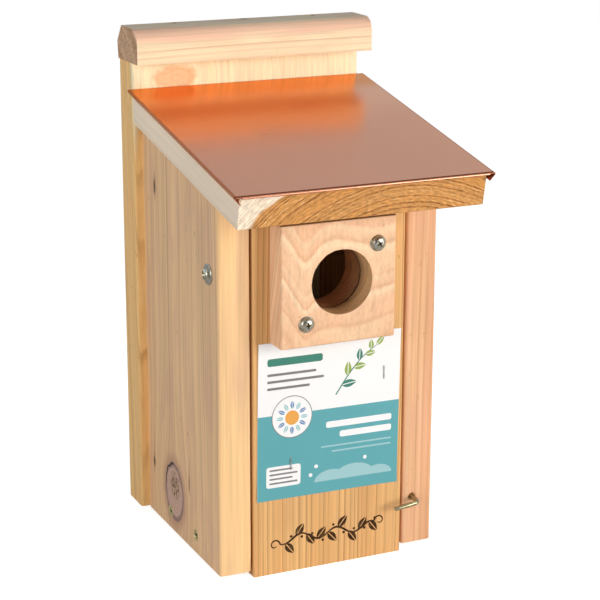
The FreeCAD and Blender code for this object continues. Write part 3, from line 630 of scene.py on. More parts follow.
@dataclass(frozen=True)
class Cedar:
    """The wood of one board, cut from a tree whose heart and rings run through it.

    Attributes:
        name: the start of its finishes' names.
        heart: a point on the tree's axis, in metres.
        lie: how the axis is turned from upright, in degrees.
        ring: the width of a year's ring, in metres.
        pale: the colour of the plain wood.
        tint: the colour of its darker years.
        deep: the colour of late wood and of flecks.
        lines: how strongly the late wood shows.
        tones: how strongly the darker years show.
        tone_width: how far one tone runs across the rings, in metres.
        wander: how far the rings stray, in metres.
        sap: the radius from which the wood is young, in metres.
        sap_colour: the colour of young wood.
        end_colour: the colour of sawn wood.
        end_deep: the colour of late wood where it is sawn.
        bore_colour: the colour that a bored wall is darkened with.
        bore_share: how much of that colour it takes.
        flush: the colour of its warm patches.
        blotch: how strongly they show.
        shine: the colour of early wood.
        gleam: how strongly the early wood shows.
        grit: how strongly its fibres show.
        rim: the y at which two boards meet in the entrance, in metres.
        rim_painted_shade: the painted shade towards that joint.
        rim_line: the colour of the joint.
        swell: how far the rings dip about an upright line, half the dip's width and the line's x, in metres.
        painted_shadow_from: the height above which a painted shadow darkens the wood, under the roof's edge,
            in metres.
        painted_shadow_colour: the colour of that painted shadow.
        scorch: the colour of burnt wood.
        knots: the branches that reach into the board.
    """

    name: str
    heart: Point
    lie: Point = (0.0, 0.0, 0.0)
    ring: float = 0.0024
    pale: Rgb = (0.84, 0.56, 0.32)
    tint: Rgb = (0.80, 0.47, 0.29)
    deep: Rgb = (0.62, 0.33, 0.15)
    lines: float = 0.45
    tones: float = 0.6
    tone_width: float = 0.007
    wander: float = 0.006
    sap: Optional[float] = None
    sap_colour: Rgb = (0.93, 0.80, 0.58)
    end_colour: Rgb = (0.66, 0.40, 0.19)
    end_deep: Rgb = (0.36, 0.17, 0.06)
    bore_colour: Rgb = (0.30, 0.125, 0.055)
    bore_share: float = 0.62
    flush: Rgb = (0.80, 0.42, 0.26)
    blotch: float = 0.22
    shine: Rgb = (0.95, 0.74, 0.48)
    gleam: float = 0.3
    grit: float = 1.0
    rim: Optional[float] = None
    rim_painted_shade: Rgb = (0.24, 0.13, 0.06)
    rim_line: Rgb = (0.03, 0.010, 0.006)
    swell: Point = (0.0, 1.0, 0.0)
    painted_shadow_from: Optional[float] = None
    painted_shadow_colour: Rgb = (0.12, 0.05, 0.02)
    scorch: Rgb = (0.034, 0.012, 0.006)
    knots: tuple[Knot, ...] = ()

    def material(self, cut: Cut) -> Material:
        """The finish of the faces that were cut one way.

        Args:
            cut: how the face was cut.

        Returns:
            The material.
        """
        nodes = Recipe(f"{self.name}_{cut.value}")
        figure = self.figure(nodes)
        face = self.planed(nodes, figure) if cut in SMOOTH else self.sawn(nodes, figure)
        colour = nodes.scaled(self.with_sapwood(nodes, figure, face.colour), face.grit)
        for knot in self.knots:
            colour = knot.paint(nodes, colour, figure.place)
        # painted shadow: a dark line along the block's top, where the roof's edge shades it
        if self.painted_shadow_from is not None:
            z = nodes.parts(figure.place)[2]
            painted_shadow = nodes.rise(z, self.painted_shadow_from - 0.0003, self.painted_shadow_from + 0.0002, 0.0, 0.8)
            colour = nodes.mix(painted_shadow, colour, self.painted_shadow_colour)
        if cut is Cut.BORED:
            colour = self.bored(nodes, figure.place, colour)
        if cut is Cut.BURNT:
            burnt = nodes.rise(nodes.cloud(figure.place, 320.0, 3.0), 0.42, 0.72, 0.98, 0.88)
            colour = nodes.mix(burnt, colour, self.scorch)
        nodes.set(Base_Color=colour, Roughness=face.roughness, Normal=face.normal)
        nodes.set(Specular_IOR_Level=0.08 if cut is Cut.BURNT else 0.3)
        return nodes.material

    def figure(self, nodes: Recipe) -> Figure:
        """Finds the growth rings at a point.

        Args:
            nodes: the finish that asks.

        Returns:
            The figure there.
        """
        place = nodes.place()
        straight = place
        for knot in self.knots:
            straight = knot.bent(nodes, straight)
        wood = nodes.inside(straight, self.heart, self.lie)
        drift = nodes.sway(wood, 9.0, 2.0, (1.0, 1.0, 0.22))
        ripple = nodes.sway(wood, 120.0, 1.0, (1.0, 1.0, 0.07))
        bent = nodes.vector("ADD", wood, nodes.scaled(drift, self.wander * 2.0))
        bent = nodes.vector("ADD", bent, nodes.scaled(ripple, self.wander * 0.16))
        if self.swell[0]:
            height, wide, middle = self.swell
            away = nodes.times(nodes.total(nodes.parts(place)[0], -middle), 1.0 / wide)
            dip = nodes.number("DIVIDE", 1.0, nodes.total(1.0, nodes.times(away, away)))
            bent = nodes.vector("ADD", bent, nodes.join(0.0, nodes.times(dip, height), 0.0))
        radius = nodes.vector("LENGTH", nodes.vector("MULTIPLY", bent, (1.0, 1.0, 0.0)))
        uneven = nodes.times(nodes.row(radius, 0.13 / self.ring), 3.6)
        years = nodes.total(nodes.times(radius, 1.0 / self.ring), uneven)
        year = nodes.number("FLOOR", years)
        share = nodes.number("FRACT", years)
        stops = ((0.0, 0.1), (0.12, 0.0), (0.6, 0.2), (0.86, 1.0), (0.94, 0.85), (1.0, 0.12))
        late = nodes.times(nodes.ramp(share, stops), nodes.rise(nodes.dice(year), 0.15, 0.95, 0.18, 1.0))
        early = nodes.ramp(share, ((0.0, 0.0), (0.08, 0.75), (0.26, 1.0), (0.5, 0.2), (1.0, 0.0)))
        early = nodes.times(early, nodes.rise(nodes.dice(nodes.total(year, 31.7)), 0.3, 0.9))
        tone = nodes.rise(nodes.row(radius, 0.5 / self.tone_width, 2.0), 0.38, 0.62)
        broad = nodes.cloud(wood, 16.0, 1.0, (1.0, 1.0, 0.3))
        return Figure(place, wood, bent, radius, late, early, tone, broad)

    def planed(self, nodes: Recipe, figure: Figure) -> Face:
        """A planed face: fibres, tones and dark late wood along the grain.

        Args:
            nodes: the finish that asks.
            figure: how the tree grew there.

        Returns:
            The face.
        """
        fibre = nodes.cloud(figure.wood, 1500.0, 2.0, (1.0, 1.0, 0.012))
        strand = nodes.cloud(figure.wood, 420.0, 2.0, (1.0, 1.0, 0.02))
        colour = nodes.mix(nodes.times(figure.tone, self.tones), self.pale, self.tint)
        patches = nodes.rise(nodes.cloud(figure.wood, 58.0, 3.0, (1.0, 1.0, 0.35)), 0.46, 0.66)
        colour = nodes.mix(nodes.times(patches, self.blotch), colour, self.flush)
        colour = nodes.mix(nodes.times(figure.early, self.gleam), colour, self.shine)
        colour = nodes.mix(nodes.times(figure.late, self.lines), colour, self.deep)
        flecks = nodes.rise(nodes.cloud(figure.place, 330.0, 2.0, (1.0, 1.0, 0.5)), 0.70, 0.76)
        colour = nodes.mix(nodes.times(flecks, 0.5), colour, self.deep)
        fine = nodes.times(fibre, 0.34 * self.grit)
        coarse = nodes.times(strand, 0.38 * self.grit)
        grit = nodes.total(fine, coarse, nodes.times(figure.broad, 0.24), 0.88 - 0.36 * self.grit)
        roughness = nodes.total(0.5, nodes.times(figure.late, -0.08), nodes.times(fibre, 0.16))
        ridges = nodes.times(figure.late, 0.5)
        height = nodes.total(nodes.times(fibre, 0.45), nodes.times(strand, 0.35), ridges)
        return Face(colour, grit, roughness, nodes.relief(height, 0.12 * MM))

    def sawn(self, nodes: Recipe, figure: Figure) -> Face:
        """Sawn end grain or a bored wall: torn strokes along the rings.

        Args:
            nodes: the finish that asks.
            figure: how the tree grew there.

        Returns:
            The face.
        """
        x, y, z = nodes.parts(figure.bent)
        along = nodes.join(figure.radius, nodes.times(nodes.number("ARCTAN2", y, x), 0.12), z)
        torn = nodes.rise(nodes.cloud(along, 1500.0, 3.0, (1.0, 0.2, 0.6)), 0.42, 0.58)
        colour = nodes.mix(nodes.times(figure.tone, 0.35), self.end_colour, self.tint)
        broken = nodes.total(nodes.times(torn, 0.45), 0.55)
        ridge = nodes.times(nodes.rise(figure.late, 0.1, 0.42), broken)
        colour = nodes.mix(ridge, colour, self.end_deep)
        bright = nodes.rise(nodes.cloud(along, 1300.0, 2.0, (1.0, 0.2, 0.8)), 0.5, 0.64)
        colour = nodes.mix(nodes.times(figure.early, bright, self.gleam), colour, self.shine)
        strokes = nodes.times(nodes.cloud(along, 1700.0, 3.0, (1.0, 0.2, 0.8)), 0.7)
        grit = nodes.total(nodes.times(torn, -0.28), strokes, nodes.times(figure.broad, 0.2), 0.72)
        roughness = nodes.total(0.74, nodes.times(figure.late, -0.1))
        saw = nodes.times(nodes.cloud(along, 1000.0, 3.0, (1.0, 0.2, 0.6)), 0.9)
        dust = nodes.times(nodes.cloud(figure.place, 2200.0, 1.0), 0.25)
        height = nodes.total(saw, dust, nodes.times(figure.late, 0.5))
        return Face(colour, grit, roughness, nodes.relief(height, 0.6 * MM))

    def with_sapwood(self, nodes: Recipe, figure: Figure, colour: Socket) -> Socket:
        """Colours the young wood, where the board reaches it.

        Args:
            nodes: the finish that asks.
            figure: how the tree grew there.
            colour: the old wood's colour.

        Returns:
            The new colour.
        """
        if self.sap is None:
            return colour
        drift = nodes.number("SUBTRACT", nodes.cloud(figure.wood, 55.0, 2.0, (1.0, 1.0, 0.2)), 0.5)
        edge = nodes.total(figure.radius, nodes.times(drift, 0.006))
        young = nodes.rise(edge, self.sap - 0.0012, self.sap + 0.0012)
        outer = nodes.mix(nodes.times(figure.late, 0.22), self.sap_colour, self.pale)
        return nodes.mix(young, colour, outer)

    def bored(self, nodes: Recipe, place: Socket, colour: Socket) -> Socket:
        """Darkens the wall of the entrance, paints shade towards the joint of its two boards and draws that
        ragged joint.

        Args:
            nodes: the finish that asks.
            place: the point.
            colour: the wood's colour.

        Returns:
            The new colour.
        """
        colour = nodes.mix(self.bore_share, colour, self.bore_colour)
        if self.rim is None:
            return colour
        ragged = nodes.times(nodes.cloud(place, 260.0), 0.0016)
        off = nodes.number("ABSOLUTE", nodes.total(nodes.parts(place)[1], -self.rim, ragged, -0.0008))
        # painted shade: the entrance wall darkens towards the step between the two boards
        colour = nodes.mix(nodes.rise(off, 0.0090, 0.0010, 0.0, 0.5), colour, self.rim_painted_shade)
        return nodes.mix(nodes.rise(off, 0.0010, 0.0006), colour, self.rim_line)


BACK_CEDAR = Cedar(
    "back_cedar", heart=(-0.066, 0.22, 0.0), lie=(-3.0, 0.0, 0.0), ring=0.0022, wander=0.008,
    pale=(0.99, 0.66, 0.28), tint=(0.90, 0.52, 0.21), deep=(0.55, 0.28, 0.10), lines=0.6, tone_width=0.0035,
    flush=(0.97, 0.52, 0.20), sap=0.1600, sap_colour=(0.95, 0.885, 0.62),
    knots=(Knot((-0.0478, 0.0734, 0.2790), (0.0145, 0.05, 0.0080), Branch.FLAME, bend=0.5),),
)
CAP_CEDAR = Cedar(
    "cap_cedar", heart=(0.0, 0.12, 0.255), lie=(0.0, 89.0, 0.0), ring=0.0021,
    pale=(0.92, 0.78, 0.54), tint=(0.93, 0.68, 0.46), deep=(0.70, 0.42, 0.24), lines=0.6, gleam=0.4,
    sap=0.0786, sap_colour=(0.91, 0.59, 0.43), end_colour=(0.56, 0.34, 0.21),
)
LEFT_FACE = -0.0694
LEFT_CEDAR = Cedar(
    "left_cedar", heart=(-0.05, 0.32, 0.0), lie=(0.1, 0.2, 0.0), ring=0.0027,
    pale=(0.90, 0.61, 0.34), tint=(0.79, 0.51, 0.30), deep=(0.42, 0.22, 0.11), lines=0.42, tones=0.75,
    tone_width=0.0034, sap=0.3635, sap_colour=(0.98, 0.65, 0.33), flush=(0.72, 0.43, 0.32), blotch=0.35,
    shine=(0.88, 0.64, 0.37), gleam=0.16, grit=1.15,
    knots=(
        Knot((LEFT_FACE, 0.0290, 0.0304), (0.2, 0.0154, 0.0189)),
        Knot((LEFT_FACE, 0.0542, 0.2177), (0.2, 0.0016, 0.0044), Branch.PIN, tail=0.012),
        Knot((LEFT_FACE, 0.0639, 0.0385), (0.2, 0.0016, 0.0032), Branch.PIN, tail=0.030),
        Knot((LEFT_FACE, 0.0039, 0.0449), (0.2, 0.0007, 0.0050), Branch.PIN, tail=0.022, bend=0.3),
    ),
)
RIGHT_CEDAR = Cedar(
    "right_cedar", heart=(0.19, -0.10, 0.0), lie=(-0.5, 0.7, 0.0), ring=0.0040,
    pale=(0.86, 0.52, 0.29), tint=(0.74, 0.37, 0.20), deep=(0.60, 0.28, 0.12), tones=0.75,
    flush=(0.84, 0.44, 0.30), blotch=0.4,
)
FLOOR_CEDAR = Cedar("floor_cedar", heart=(0.0, 0.02, -0.1), lie=(90.0, 0.0, 0.0), ring=0.0028)
ROOF_CEDAR = Cedar(
    "roof_cedar", heart=(0.027, -0.09, 0.128), lie=(ROOF_PITCH - 90.0, 0.0, 0.0), ring=0.0023, wander=0.004,
    pale=(0.70, 0.45, 0.22), tint=(0.60, 0.32, 0.12), lines=0.25, sap=0.1335, sap_colour=(0.93, 0.80, 0.64),
    end_colour=(0.64, 0.30, 0.085), end_deep=(0.33, 0.125, 0.030), shine=(0.96, 0.64, 0.30), gleam=0.7,
    grit=0.6,
)
DOOR_CEDAR = Cedar(
    "door_cedar", heart=(0.19, 0.05, 0.0), lie=(0.3, 0.5, 0.0), ring=0.0027,
    pale=(0.83, 0.50, 0.21), tint=(0.70, 0.37, 0.14), deep=(0.38, 0.17, 0.050), lines=0.64, tones=0.5,
    flush=(0.66, 0.34, 0.16), shine=(0.92, 0.64, 0.32), gleam=0.16,
    bore_colour=(0.56, 0.26, 0.13), bore_share=0.78, rim=-0.0452,
)
BLOCK_CEDAR = Cedar(
    "block_cedar", heart=(0.015, 0.26, 0.18), lie=(16.0, 0.0, 0.0), ring=0.0030, wander=0.005,
    pale=(0.90, 0.60, 0.38), tint=(0.86, 0.52, 0.33), deep=(0.64, 0.32, 0.17), lines=0.42, tones=0.5,
    tone_width=0.0035, flush=(0.91, 0.54, 0.33), blotch=0.6, shine=(0.99, 0.86, 0.62), gleam=0.42,
    # painted shadow along the block's top edge, under the roof
    swell=(0.0042, 0.0085, -0.0235), painted_shadow_from=0.2152,
    bore_colour=(0.72, 0.46, 0.23), bore_share=0.6, rim=-0.0457,
    knots=(Knot((0.0, -0.0617, 0.1797), (0.014, 0.05, 0.014), Branch.GONE, bend=0.35),),
)


@dataclass(frozen=True)
class CopperSheet:
    """Mill-bright copper, brushed by its rolling and hazy from handling. Places are the sheet's x or y."""

    name: str = "copper_sheet"
    colour: Rgb = (0.79, 0.265, 0.100)
    worn: Rgb = (0.72, 0.265, 0.110)
    # colour of rubs from handling, and of the painted shade and shadow at folds, crease and back edge
    rub_and_shade: Rgb = (0.22, 0.055, 0.020)
    # painted highlight colour for the hem
    bright: Rgb = (0.60, 0.29, 0.20)
    # painted reflection: warmer and deeper orange towards the back, as the sheet mirrors the back board
    reflection_warm: Rgb = (0.84, 0.315, 0.125)
    deep: Rgb = (0.80, 0.200, 0.006)
    sheen: Rgb = (1.0, 0.97, 0.88)
    reflection_warm_from: Flat = (-0.005, 0.038)
    reflection_deep_from: Flat = (0.042, 0.061)
    fold_shade_from: Flat = (0.0770, 0.0778)
    gap_shadow_from: Flat = (0.0726, 0.0733)
    crease_shade_from: Flat = (-0.0924, -0.0929)
    crease_shade_to: Flat = (-0.0946, -0.0942)
    hem_highlight_from: Flat = (-0.0941, -0.0947)

    def material(self) -> Material:
        """The sheet's finish, with painted shade on its folds and crease, a painted shadow along its back
        edge, a painted highlight on its hem and painted reflection towards its back.

        Returns:
            The material.
        """
        nodes = Recipe(self.name)
        place = nodes.place()
        haze = nodes.cloud(place, 22.0, 3.0, (1.0, 0.6, 1.0))
        rolled = nodes.cloud(place, 900.0, 2.0, (1.0, 0.02, 1.0))
        rubs = nodes.rise(nodes.cloud(place, 150.0, 3.0, (0.2, 1.0, 1.0)), 0.60, 0.78)
        across, along, _ = nodes.parts(place)
        # painted shade: the side folds are darkened where the sheet bends down
        fold_shade = nodes.rise(nodes.number("ABSOLUTE", across), *self.fold_shade_from)
        # painted shadow: a ragged dark line along the back edge, in the gap at the back board
        ragged = nodes.times(nodes.cloud(place, 330.0, 1.0), 0.0012)
        gap_shadow = nodes.rise(nodes.total(along, ragged), *self.gap_shadow_from)
        # painted shade: a dark line along the front crease
        crease_shade = nodes.times(nodes.rise(along, *self.crease_shade_from), nodes.rise(along, *self.crease_shade_to))
        hem_highlight = nodes.rise(along, *self.hem_highlight_from)
        colour = nodes.mix(nodes.rise(haze, 0.42, 0.68, 0.0, 0.4), self.colour, self.worn)
        # painted reflection: more saturated orange towards the back
        colour = nodes.mix(nodes.rise(along, *self.reflection_warm_from), colour, self.reflection_warm)
        colour = nodes.mix(nodes.rise(along, *self.reflection_deep_from), colour, self.deep)
        colour = nodes.mix(nodes.times(rubs, 0.06), colour, self.rub_and_shade)
        # painted shade of the folds and the crease
        bent = nodes.number("MAXIMUM", nodes.times(fold_shade, 0.6), crease_shade)
        colour = nodes.mix(nodes.number("MAXIMUM", bent, gap_shadow), colour, self.rub_and_shade)
        # painted highlight: a pale line along the hem at the front edge
        colour = nodes.mix(nodes.times(hem_highlight, 0.85), colour, self.bright)
        dull = nodes.total(0.17, nodes.times(haze, 0.08), nodes.times(rolled, 0.05), nodes.times(rubs, 0.03))
        dull = nodes.total(dull, nodes.times(fold_shade, 0.15), nodes.times(crease_shade, 0.5))
        nodes.set(Base_Color=colour, Roughness=dull)
        # the painted crease shade and back-edge shadow are made dull brown rather than metal
        nodes.set(Metallic=nodes.total(1.0, nodes.times(crease_shade, -1.0), nodes.times(gap_shadow, -0.6)))
        nodes.set(Specular_IOR_Level=0.05, Specular_Tint=self.sheen)
        waves = nodes.relief(nodes.cloud(place, 11.0, 0.0), 0.6 * MM)
        nodes.set(Normal=nodes.relief(rolled, 0.008 * MM, waves))
        return nodes.material


@dataclass(frozen=True)
class Plated:
    """Zinc-plated steel, clear or yellowed, and darker, duller plating for its hollows, with grime and
    painted shade.
    """

    name: str
    colour: Rgb = (0.46, 0.45, 0.39)
    stain: Rgb = (0.17, 0.16, 0.09)
    roughness: float = 0.2

    def material(self) -> Material:
        """The plating's finish.

        Returns:
            The material.
        """
        nodes = Recipe(self.name)
        place = nodes.place()
        patch = nodes.rise(nodes.cloud(place, 420.0, 3.0), 0.44, 0.66)
        grain = nodes.cloud(place, 3800.0)
        nodes.set(Base_Color=nodes.mix(nodes.times(patch, 0.6), self.colour, self.stain), Metallic=1.0)
        dull = nodes.total(self.roughness, nodes.times(patch, 0.14), nodes.times(grain, 0.08))
        nodes.set(Roughness=dull, Normal=nodes.relief(grain, 0.02 * MM))
        return nodes.material


ZINC = Plated("zinc_plate")
ZINC_YELLOW = Plated("zinc_yellow", (0.62, 0.56, 0.26), (0.20, 0.17, 0.06))
# painted shade: near-black plating for the recess walls of the yellow screws
ZINC_RECESS_SHADE = Plated("zinc_recess_shade", (0.10, 0.09, 0.05), (0.03, 0.025, 0.015), 0.45)
ZINC_PIN = Plated("zinc_pin", (0.42, 0.39, 0.25), (0.15, 0.13, 0.06), 0.12)
# grime and painted shade for the recess walls of the clear screws
ZINC_GRIME_AND_SHADE = Plated("zinc_grime_and_shade", (0.46, 0.40, 0.29), (0.16, 0.12, 0.07), 0.35)
STAPLE_WIRE = Plated("staple_wire", (0.55, 0.55, 0.55), (0.2, 0.2, 0.2))


@dataclass(frozen=True)
class Print:
    """Ink on coated card."""

    name: str
    colour: Rgb
    roughness: float = 0.34

    def material(self) -> Material:
        """The ink's finish.

        Returns:
            The material.
        """
        nodes = Recipe(self.name)
        place = nodes.place()
        fine = nodes.cloud(place, 2400.0)
        soft = nodes.cloud(place, 30.0)
        grey = nodes.total(0.955, nodes.times(fine, 0.05), nodes.times(soft, 0.04))
        nodes.set(Base_Color=nodes.scaled(self.colour, grey), Specular_IOR_Level=0.45)
        nodes.set(Roughness=nodes.total(self.roughness, nodes.times(fine, 0.1)))
        nodes.set(Normal=nodes.relief(nodes.total(nodes.times(fine, 0.2), soft), 0.06 * MM))
        return nodes.material


class Tone(Enum):
    """The inks of the card, in the order of its materials."""

    WHITE = Print("card_white", (0.93, 0.95, 0.99))
    TEAL = Print("card_teal", (0.105, 0.40, 0.46))
    GREEN = Print("ink_green", (0.035, 0.22, 0.17))
    GREY = Print("ink_grey", (0.20, 0.20, 0.21))
    LEAF = Print("ink_leaf", (0.30, 0.44, 0.10))
    SUN = Print("ink_sun", (0.85, 0.40, 0.08))
    SKY = Print("ink_sky", (0.10, 0.24, 0.50))
    MIST = Print("ink_mist", (0.34, 0.60, 0.66))

    def number(self) -> int:
        """The ink's place among the card's materials."""
        return list(Tone).index(self)


def piece(
    name: str, bm: Mesh, materials: Sequence[Material], body: str, slot: str, smooth: float = 35.0
) -> Thing:
    """Turns a built mesh into an object that rides on a body.

    Args:
        name: the object's name.
        bm: the mesh, which is freed.
        materials: its materials in the order of the faces' numbers.
        body: the body that it rides on.
        slot: the record's material slot, which is not used.
        smooth: the angle in degrees above which an edge stays sharp.

    Returns:
        The object.
    """
    mesh = bpy.data.meshes.new(name)
    bmesh.ops.recalc_face_normals(bm, faces=bm.faces)
    bm.to_mesh(mesh)
    bm.free()
    for material in materials:
        mesh.materials.append(material)
    mesh.shade_smooth()
    mesh.set_sharp_from_angle(angle=math.radians(smooth))
    made = bpy.data.objects.new(name, mesh)
    bpy.context.scene.collection.objects.link(made)
    level = made.modifiers.new("face_weights", "WEIGHTED_NORMAL")
    level.keep_sharp = True
    level.weight = 100
    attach(made, body)
    LOG.info("%s: %d faces on %s", name, len(mesh.polygons), body)
    return made


def dress(node: str, material: Material) -> None:
    """Gives a carried-over node of the frame its finish.

    Args:
        node: the node's name.
        material: the finish.
    """
    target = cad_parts[node]
    target.data.materials.clear()
    target.data.materials.append(material)
    LOG.info("%s: dressed as %s", node, material.name)


@dataclass
class Board:
    """One planed board, taken from the frame's own board, with its arrises eased and knocked by use.

    Attributes:
        node: the frame's own board, which this one replaces.
        wood: its cedar.
        grain: the way its grain runs.
        body: the body that it rides on.
        slot: the record's material slot.
        arris: how much its arrises are eased, in metres.
        wear: how deep they are dented, in metres.
        step: how far apart they may be dented, in metres.
        bored: the x and z of a hole through it and the reach of the hole's wall, in metres.
        edge_angle: how sharp an edge is an arris, in degrees.
        edge_length: how long an edge is an arris, in metres.
    """

    node: str
    wood: Cedar
    grain: Grain
    body: str = "house"
    slot: str = "cedar_board"
    arris: float = 0.45 * MM
    wear: float = 0.4 * MM
    step: float = 7.0 * MM
    bored: Optional[tuple[float, float, float]] = None
    edge_angle: float = 40.0
    edge_length: float = 4.0 * MM

    def build(self) -> Thing:
        """Builds the board and dresses it.

        Returns:
            The board.
        """
        bm = bmesh.new()
        bm.from_mesh(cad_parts[self.node].data)
        bmesh.ops.remove_doubles(bm, verts=bm.verts, dist=2e-6)
        bmesh.ops.dissolve_limit(bm, angle_limit=math.radians(0.4), verts=bm.verts, edges=bm.edges)
        sharp = [edge for edge in bm.edges if self.is_arris(edge)]
        bmesh.ops.bevel(
            bm, geom=sharp, offset=self.arris, segments=2, profile=0.55, affect="EDGES", clamp_overlap=True)
        self.slice(bm)
        self.knock(bm)
        self.number_faces(bm)
        finishes = [self.wood.material(cut) for cut in SAWN]
        made = piece(f"{self.node}_cedar", bm, finishes, self.body, self.slot)
        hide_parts(self.node)
        return made

    def is_arris(self, edge: bmesh.types.BMEdge) -> bool:
        """Whether an edge is long and sharp enough to be eased."""
        steep = edge.calc_face_angle(0.0) > math.radians(self.edge_angle)
        return steep and edge.calc_length() > self.edge_length

    def slice(self, bm: Mesh) -> None:
        """Cuts the board across its grain so that its arrises can wander.

        Args:
            bm: the board's mesh.
        """
        way = Vector(self.grain.value)
        spans = [corner.co.dot(way) for corner in bm.verts]
        low, high = min(spans), max(spans)
        count = int((high - low) / self.step)
        for index in range(1, count):
            at = low + (high - low) * (index + 0.3 * math.sin(index * 2.3)) / count
            whole = bm.verts[:] + bm.edges[:] + bm.faces[:]
            bmesh.ops.bisect_plane(bm, geom=whole, dist=1e-6, plane_co=way * at, plane_no=way)

    def knock(self, bm: Mesh) -> None:
        """Moves the points of worn arrises a little into the wood.

        Args:
            bm: the board's mesh.
        """
        bm.normal_update()
        moves = []
        for corner in bm.verts:
            ways = [face.normal for face in corner.link_faces]
            if len(ways) < 2 or max(one.angle(other, 0.0) for one in ways for other in ways) < 0.5:
                continue
            dent = max(0.0, noise.noise(corner.co * 70.0) * 0.6 + noise.noise(corner.co * 260.0) * 0.5)
            moves.append((corner, corner.normal * (-self.wear * dent)))
        for corner, move in moves:
            corner.co += move

    def number_faces(self, bm: Mesh) -> None:
        """Gives each face the number of its cut.

        Args:
            bm: the board's mesh.
        """
        way = Vector(self.grain.value)
        for face in bm.faces:
            cut = Cut.END if abs(face.normal.dot(way)) > 0.8 else Cut.PLANED
            if self.bored is not None:
                x, z, reach = self.bored
                middle = face.calc_center_median()
                if math.hypot(middle.x - x, middle.z - z) < reach and abs(face.normal.y) < 0.7:
                    cut = Cut.BORED
            face.material_index = SAWN.index(cut)


def circle(turns: int) -> list[float]:
    """The angles of evenly spaced points round a circle."""
    return [2.0 * math.pi * index / turns for index in range(turns)]


def bridge(bm: Mesh, rings: Sequence[Sequence[Corner]], turns: int) -> None:
    """Lays faces between rings of points, where a ring of one point closes the end.

    Args:
        bm: the mesh.
        rings: the rings in order.
        turns: points in a full ring.
    """
    for lower, upper in zip(rings, rings[1:]):
        for index in range(turns):
            after = (index + 1) % turns
            below = [lower[index % len(lower)], lower[after % len(lower)]]
            above = [upper[after % len(upper)], upper[index % len(upper)]]
            corners = list(dict.fromkeys(below + above))
            if len(corners) > 2:
                bm.faces.new(corners)


def lathe(profile: Sequence[Flat], turns: int) -> Mesh:
    """A solid turned about the Z axis.

    Args:
        profile: (radius, height) points from the axis out and back to the axis.
        turns: facets round the axis.

    Returns:
        The mesh.
    """
    bm = bmesh.new()
    rings: list[list[Corner]] = []
    for radius, height in profile:
        spots = [(radius * math.cos(angle), radius * math.sin(angle)) for angle in circle(turns)]
        if radius == 0.0:
            spots = [(0.0, 0.0)]
        rings.append([bm.verts.new((x, y, height)) for x, y in spots])
    bridge(bm, rings, turns)
    return bm


def carve(solid: Mesh, cutter: Mesh) -> bpy.types.Mesh:
    """Cuts one closed mesh out of another and frees both.

    Args:
        solid: the mesh that is cut.
        cutter: the mesh that is taken away.

    Returns:
        What is left of the solid.
    """
    holders = []
    for bm in (solid, cutter):
        mesh = bpy.data.meshes.new("carving")
        bmesh.ops.recalc_face_normals(bm, faces=bm.faces)
        bm.to_mesh(mesh)
        bm.free()
        holders.append(bpy.data.objects.new("carving", mesh))
        bpy.context.scene.collection.objects.link(holders[-1])
    cut = holders[0].modifiers.new("cut", "BOOLEAN")
    cut.operation = "DIFFERENCE"
    cut.solver = "EXACT"
    cut.object = holders[1]
    graph = bpy.context.evaluated_depsgraph_get()
    left = bpy.data.meshes.new_from_object(holders[0].evaluated_get(graph))
    for holder in holders:
        mesh = holder.data
        bpy.data.objects.remove(holder)
        bpy.data.meshes.remove(mesh)
    return left


def tube(path: Sequence[Vector], radius: float, turns: int, blunt: float = 0.6) -> Mesh:
    """A round wire with softened ends.

    Args:
        path: its centre line, from tip to tip.
        radius: its radius.
        turns: facets round it.
        blunt: how far the ends' rounding reaches, as a share of the radius.

    Returns:
        The mesh.
    """
    bm = bmesh.new()
    ways = [(after - before).normalized() for before, after in zip(path, path[1:])]
    inner = [(before + after).normalized() for before, after in zip(ways, ways[1:])]
    ease = [math.radians(angle) for angle in (90, 68, 46, 23)]
    tips = [(radius * blunt * (1.0 - math.sin(angle)), radius * math.cos(angle)) for angle in ease]
    head = [(path[0] + ways[0] * along, ways[0], size) for along, size in tips]
    foot = [(path[-1] - ways[-1] * along, ways[-1], size) for along, size in reversed(tips)]
    body = [(point, way, radius) for point, way in zip(path[1:-1], inner)]
    across = ways[0].orthogonal().normalized()
    before = ways[0]
    rings: list[list[Corner]] = []
    for centre, way, size in head + body + foot:
        across = before.rotation_difference(way) @ across
        before = way
        if size < radius * 0.01:
            rings.append([bm.verts.new(centre)])
            continue
        other = way.cross(across)
        spokes = [across * math.cos(angle) + other * math.sin(angle) for angle in circle(turns)]
        rings.append([bm.verts.new(centre + spoke * size) for spoke in spokes])
    bridge(bm, rings, turns)
    return bm


def rounded(corners: Sequence[Vector], reach: float, steps: int = 5) -> list[Vector]:
    """A path with softened corners.

    Args:
        corners: the path's points.
        reach: how far from a corner its bend starts.
        steps: points in a bend.

    Returns:
        The new path.
    """
    path = [corners[0]]
    for before, corner, after in zip(corners, corners[1:], corners[2:]):
        start = corner + (before - corner).normalized() * reach
        end = corner + (after - corner).normalized() * reach
        for step in range(steps + 1):
            share = step / steps
            path.append(start.lerp(corner, share).lerp(corner.lerp(end, share), share))
    return path + [corners[-1]]


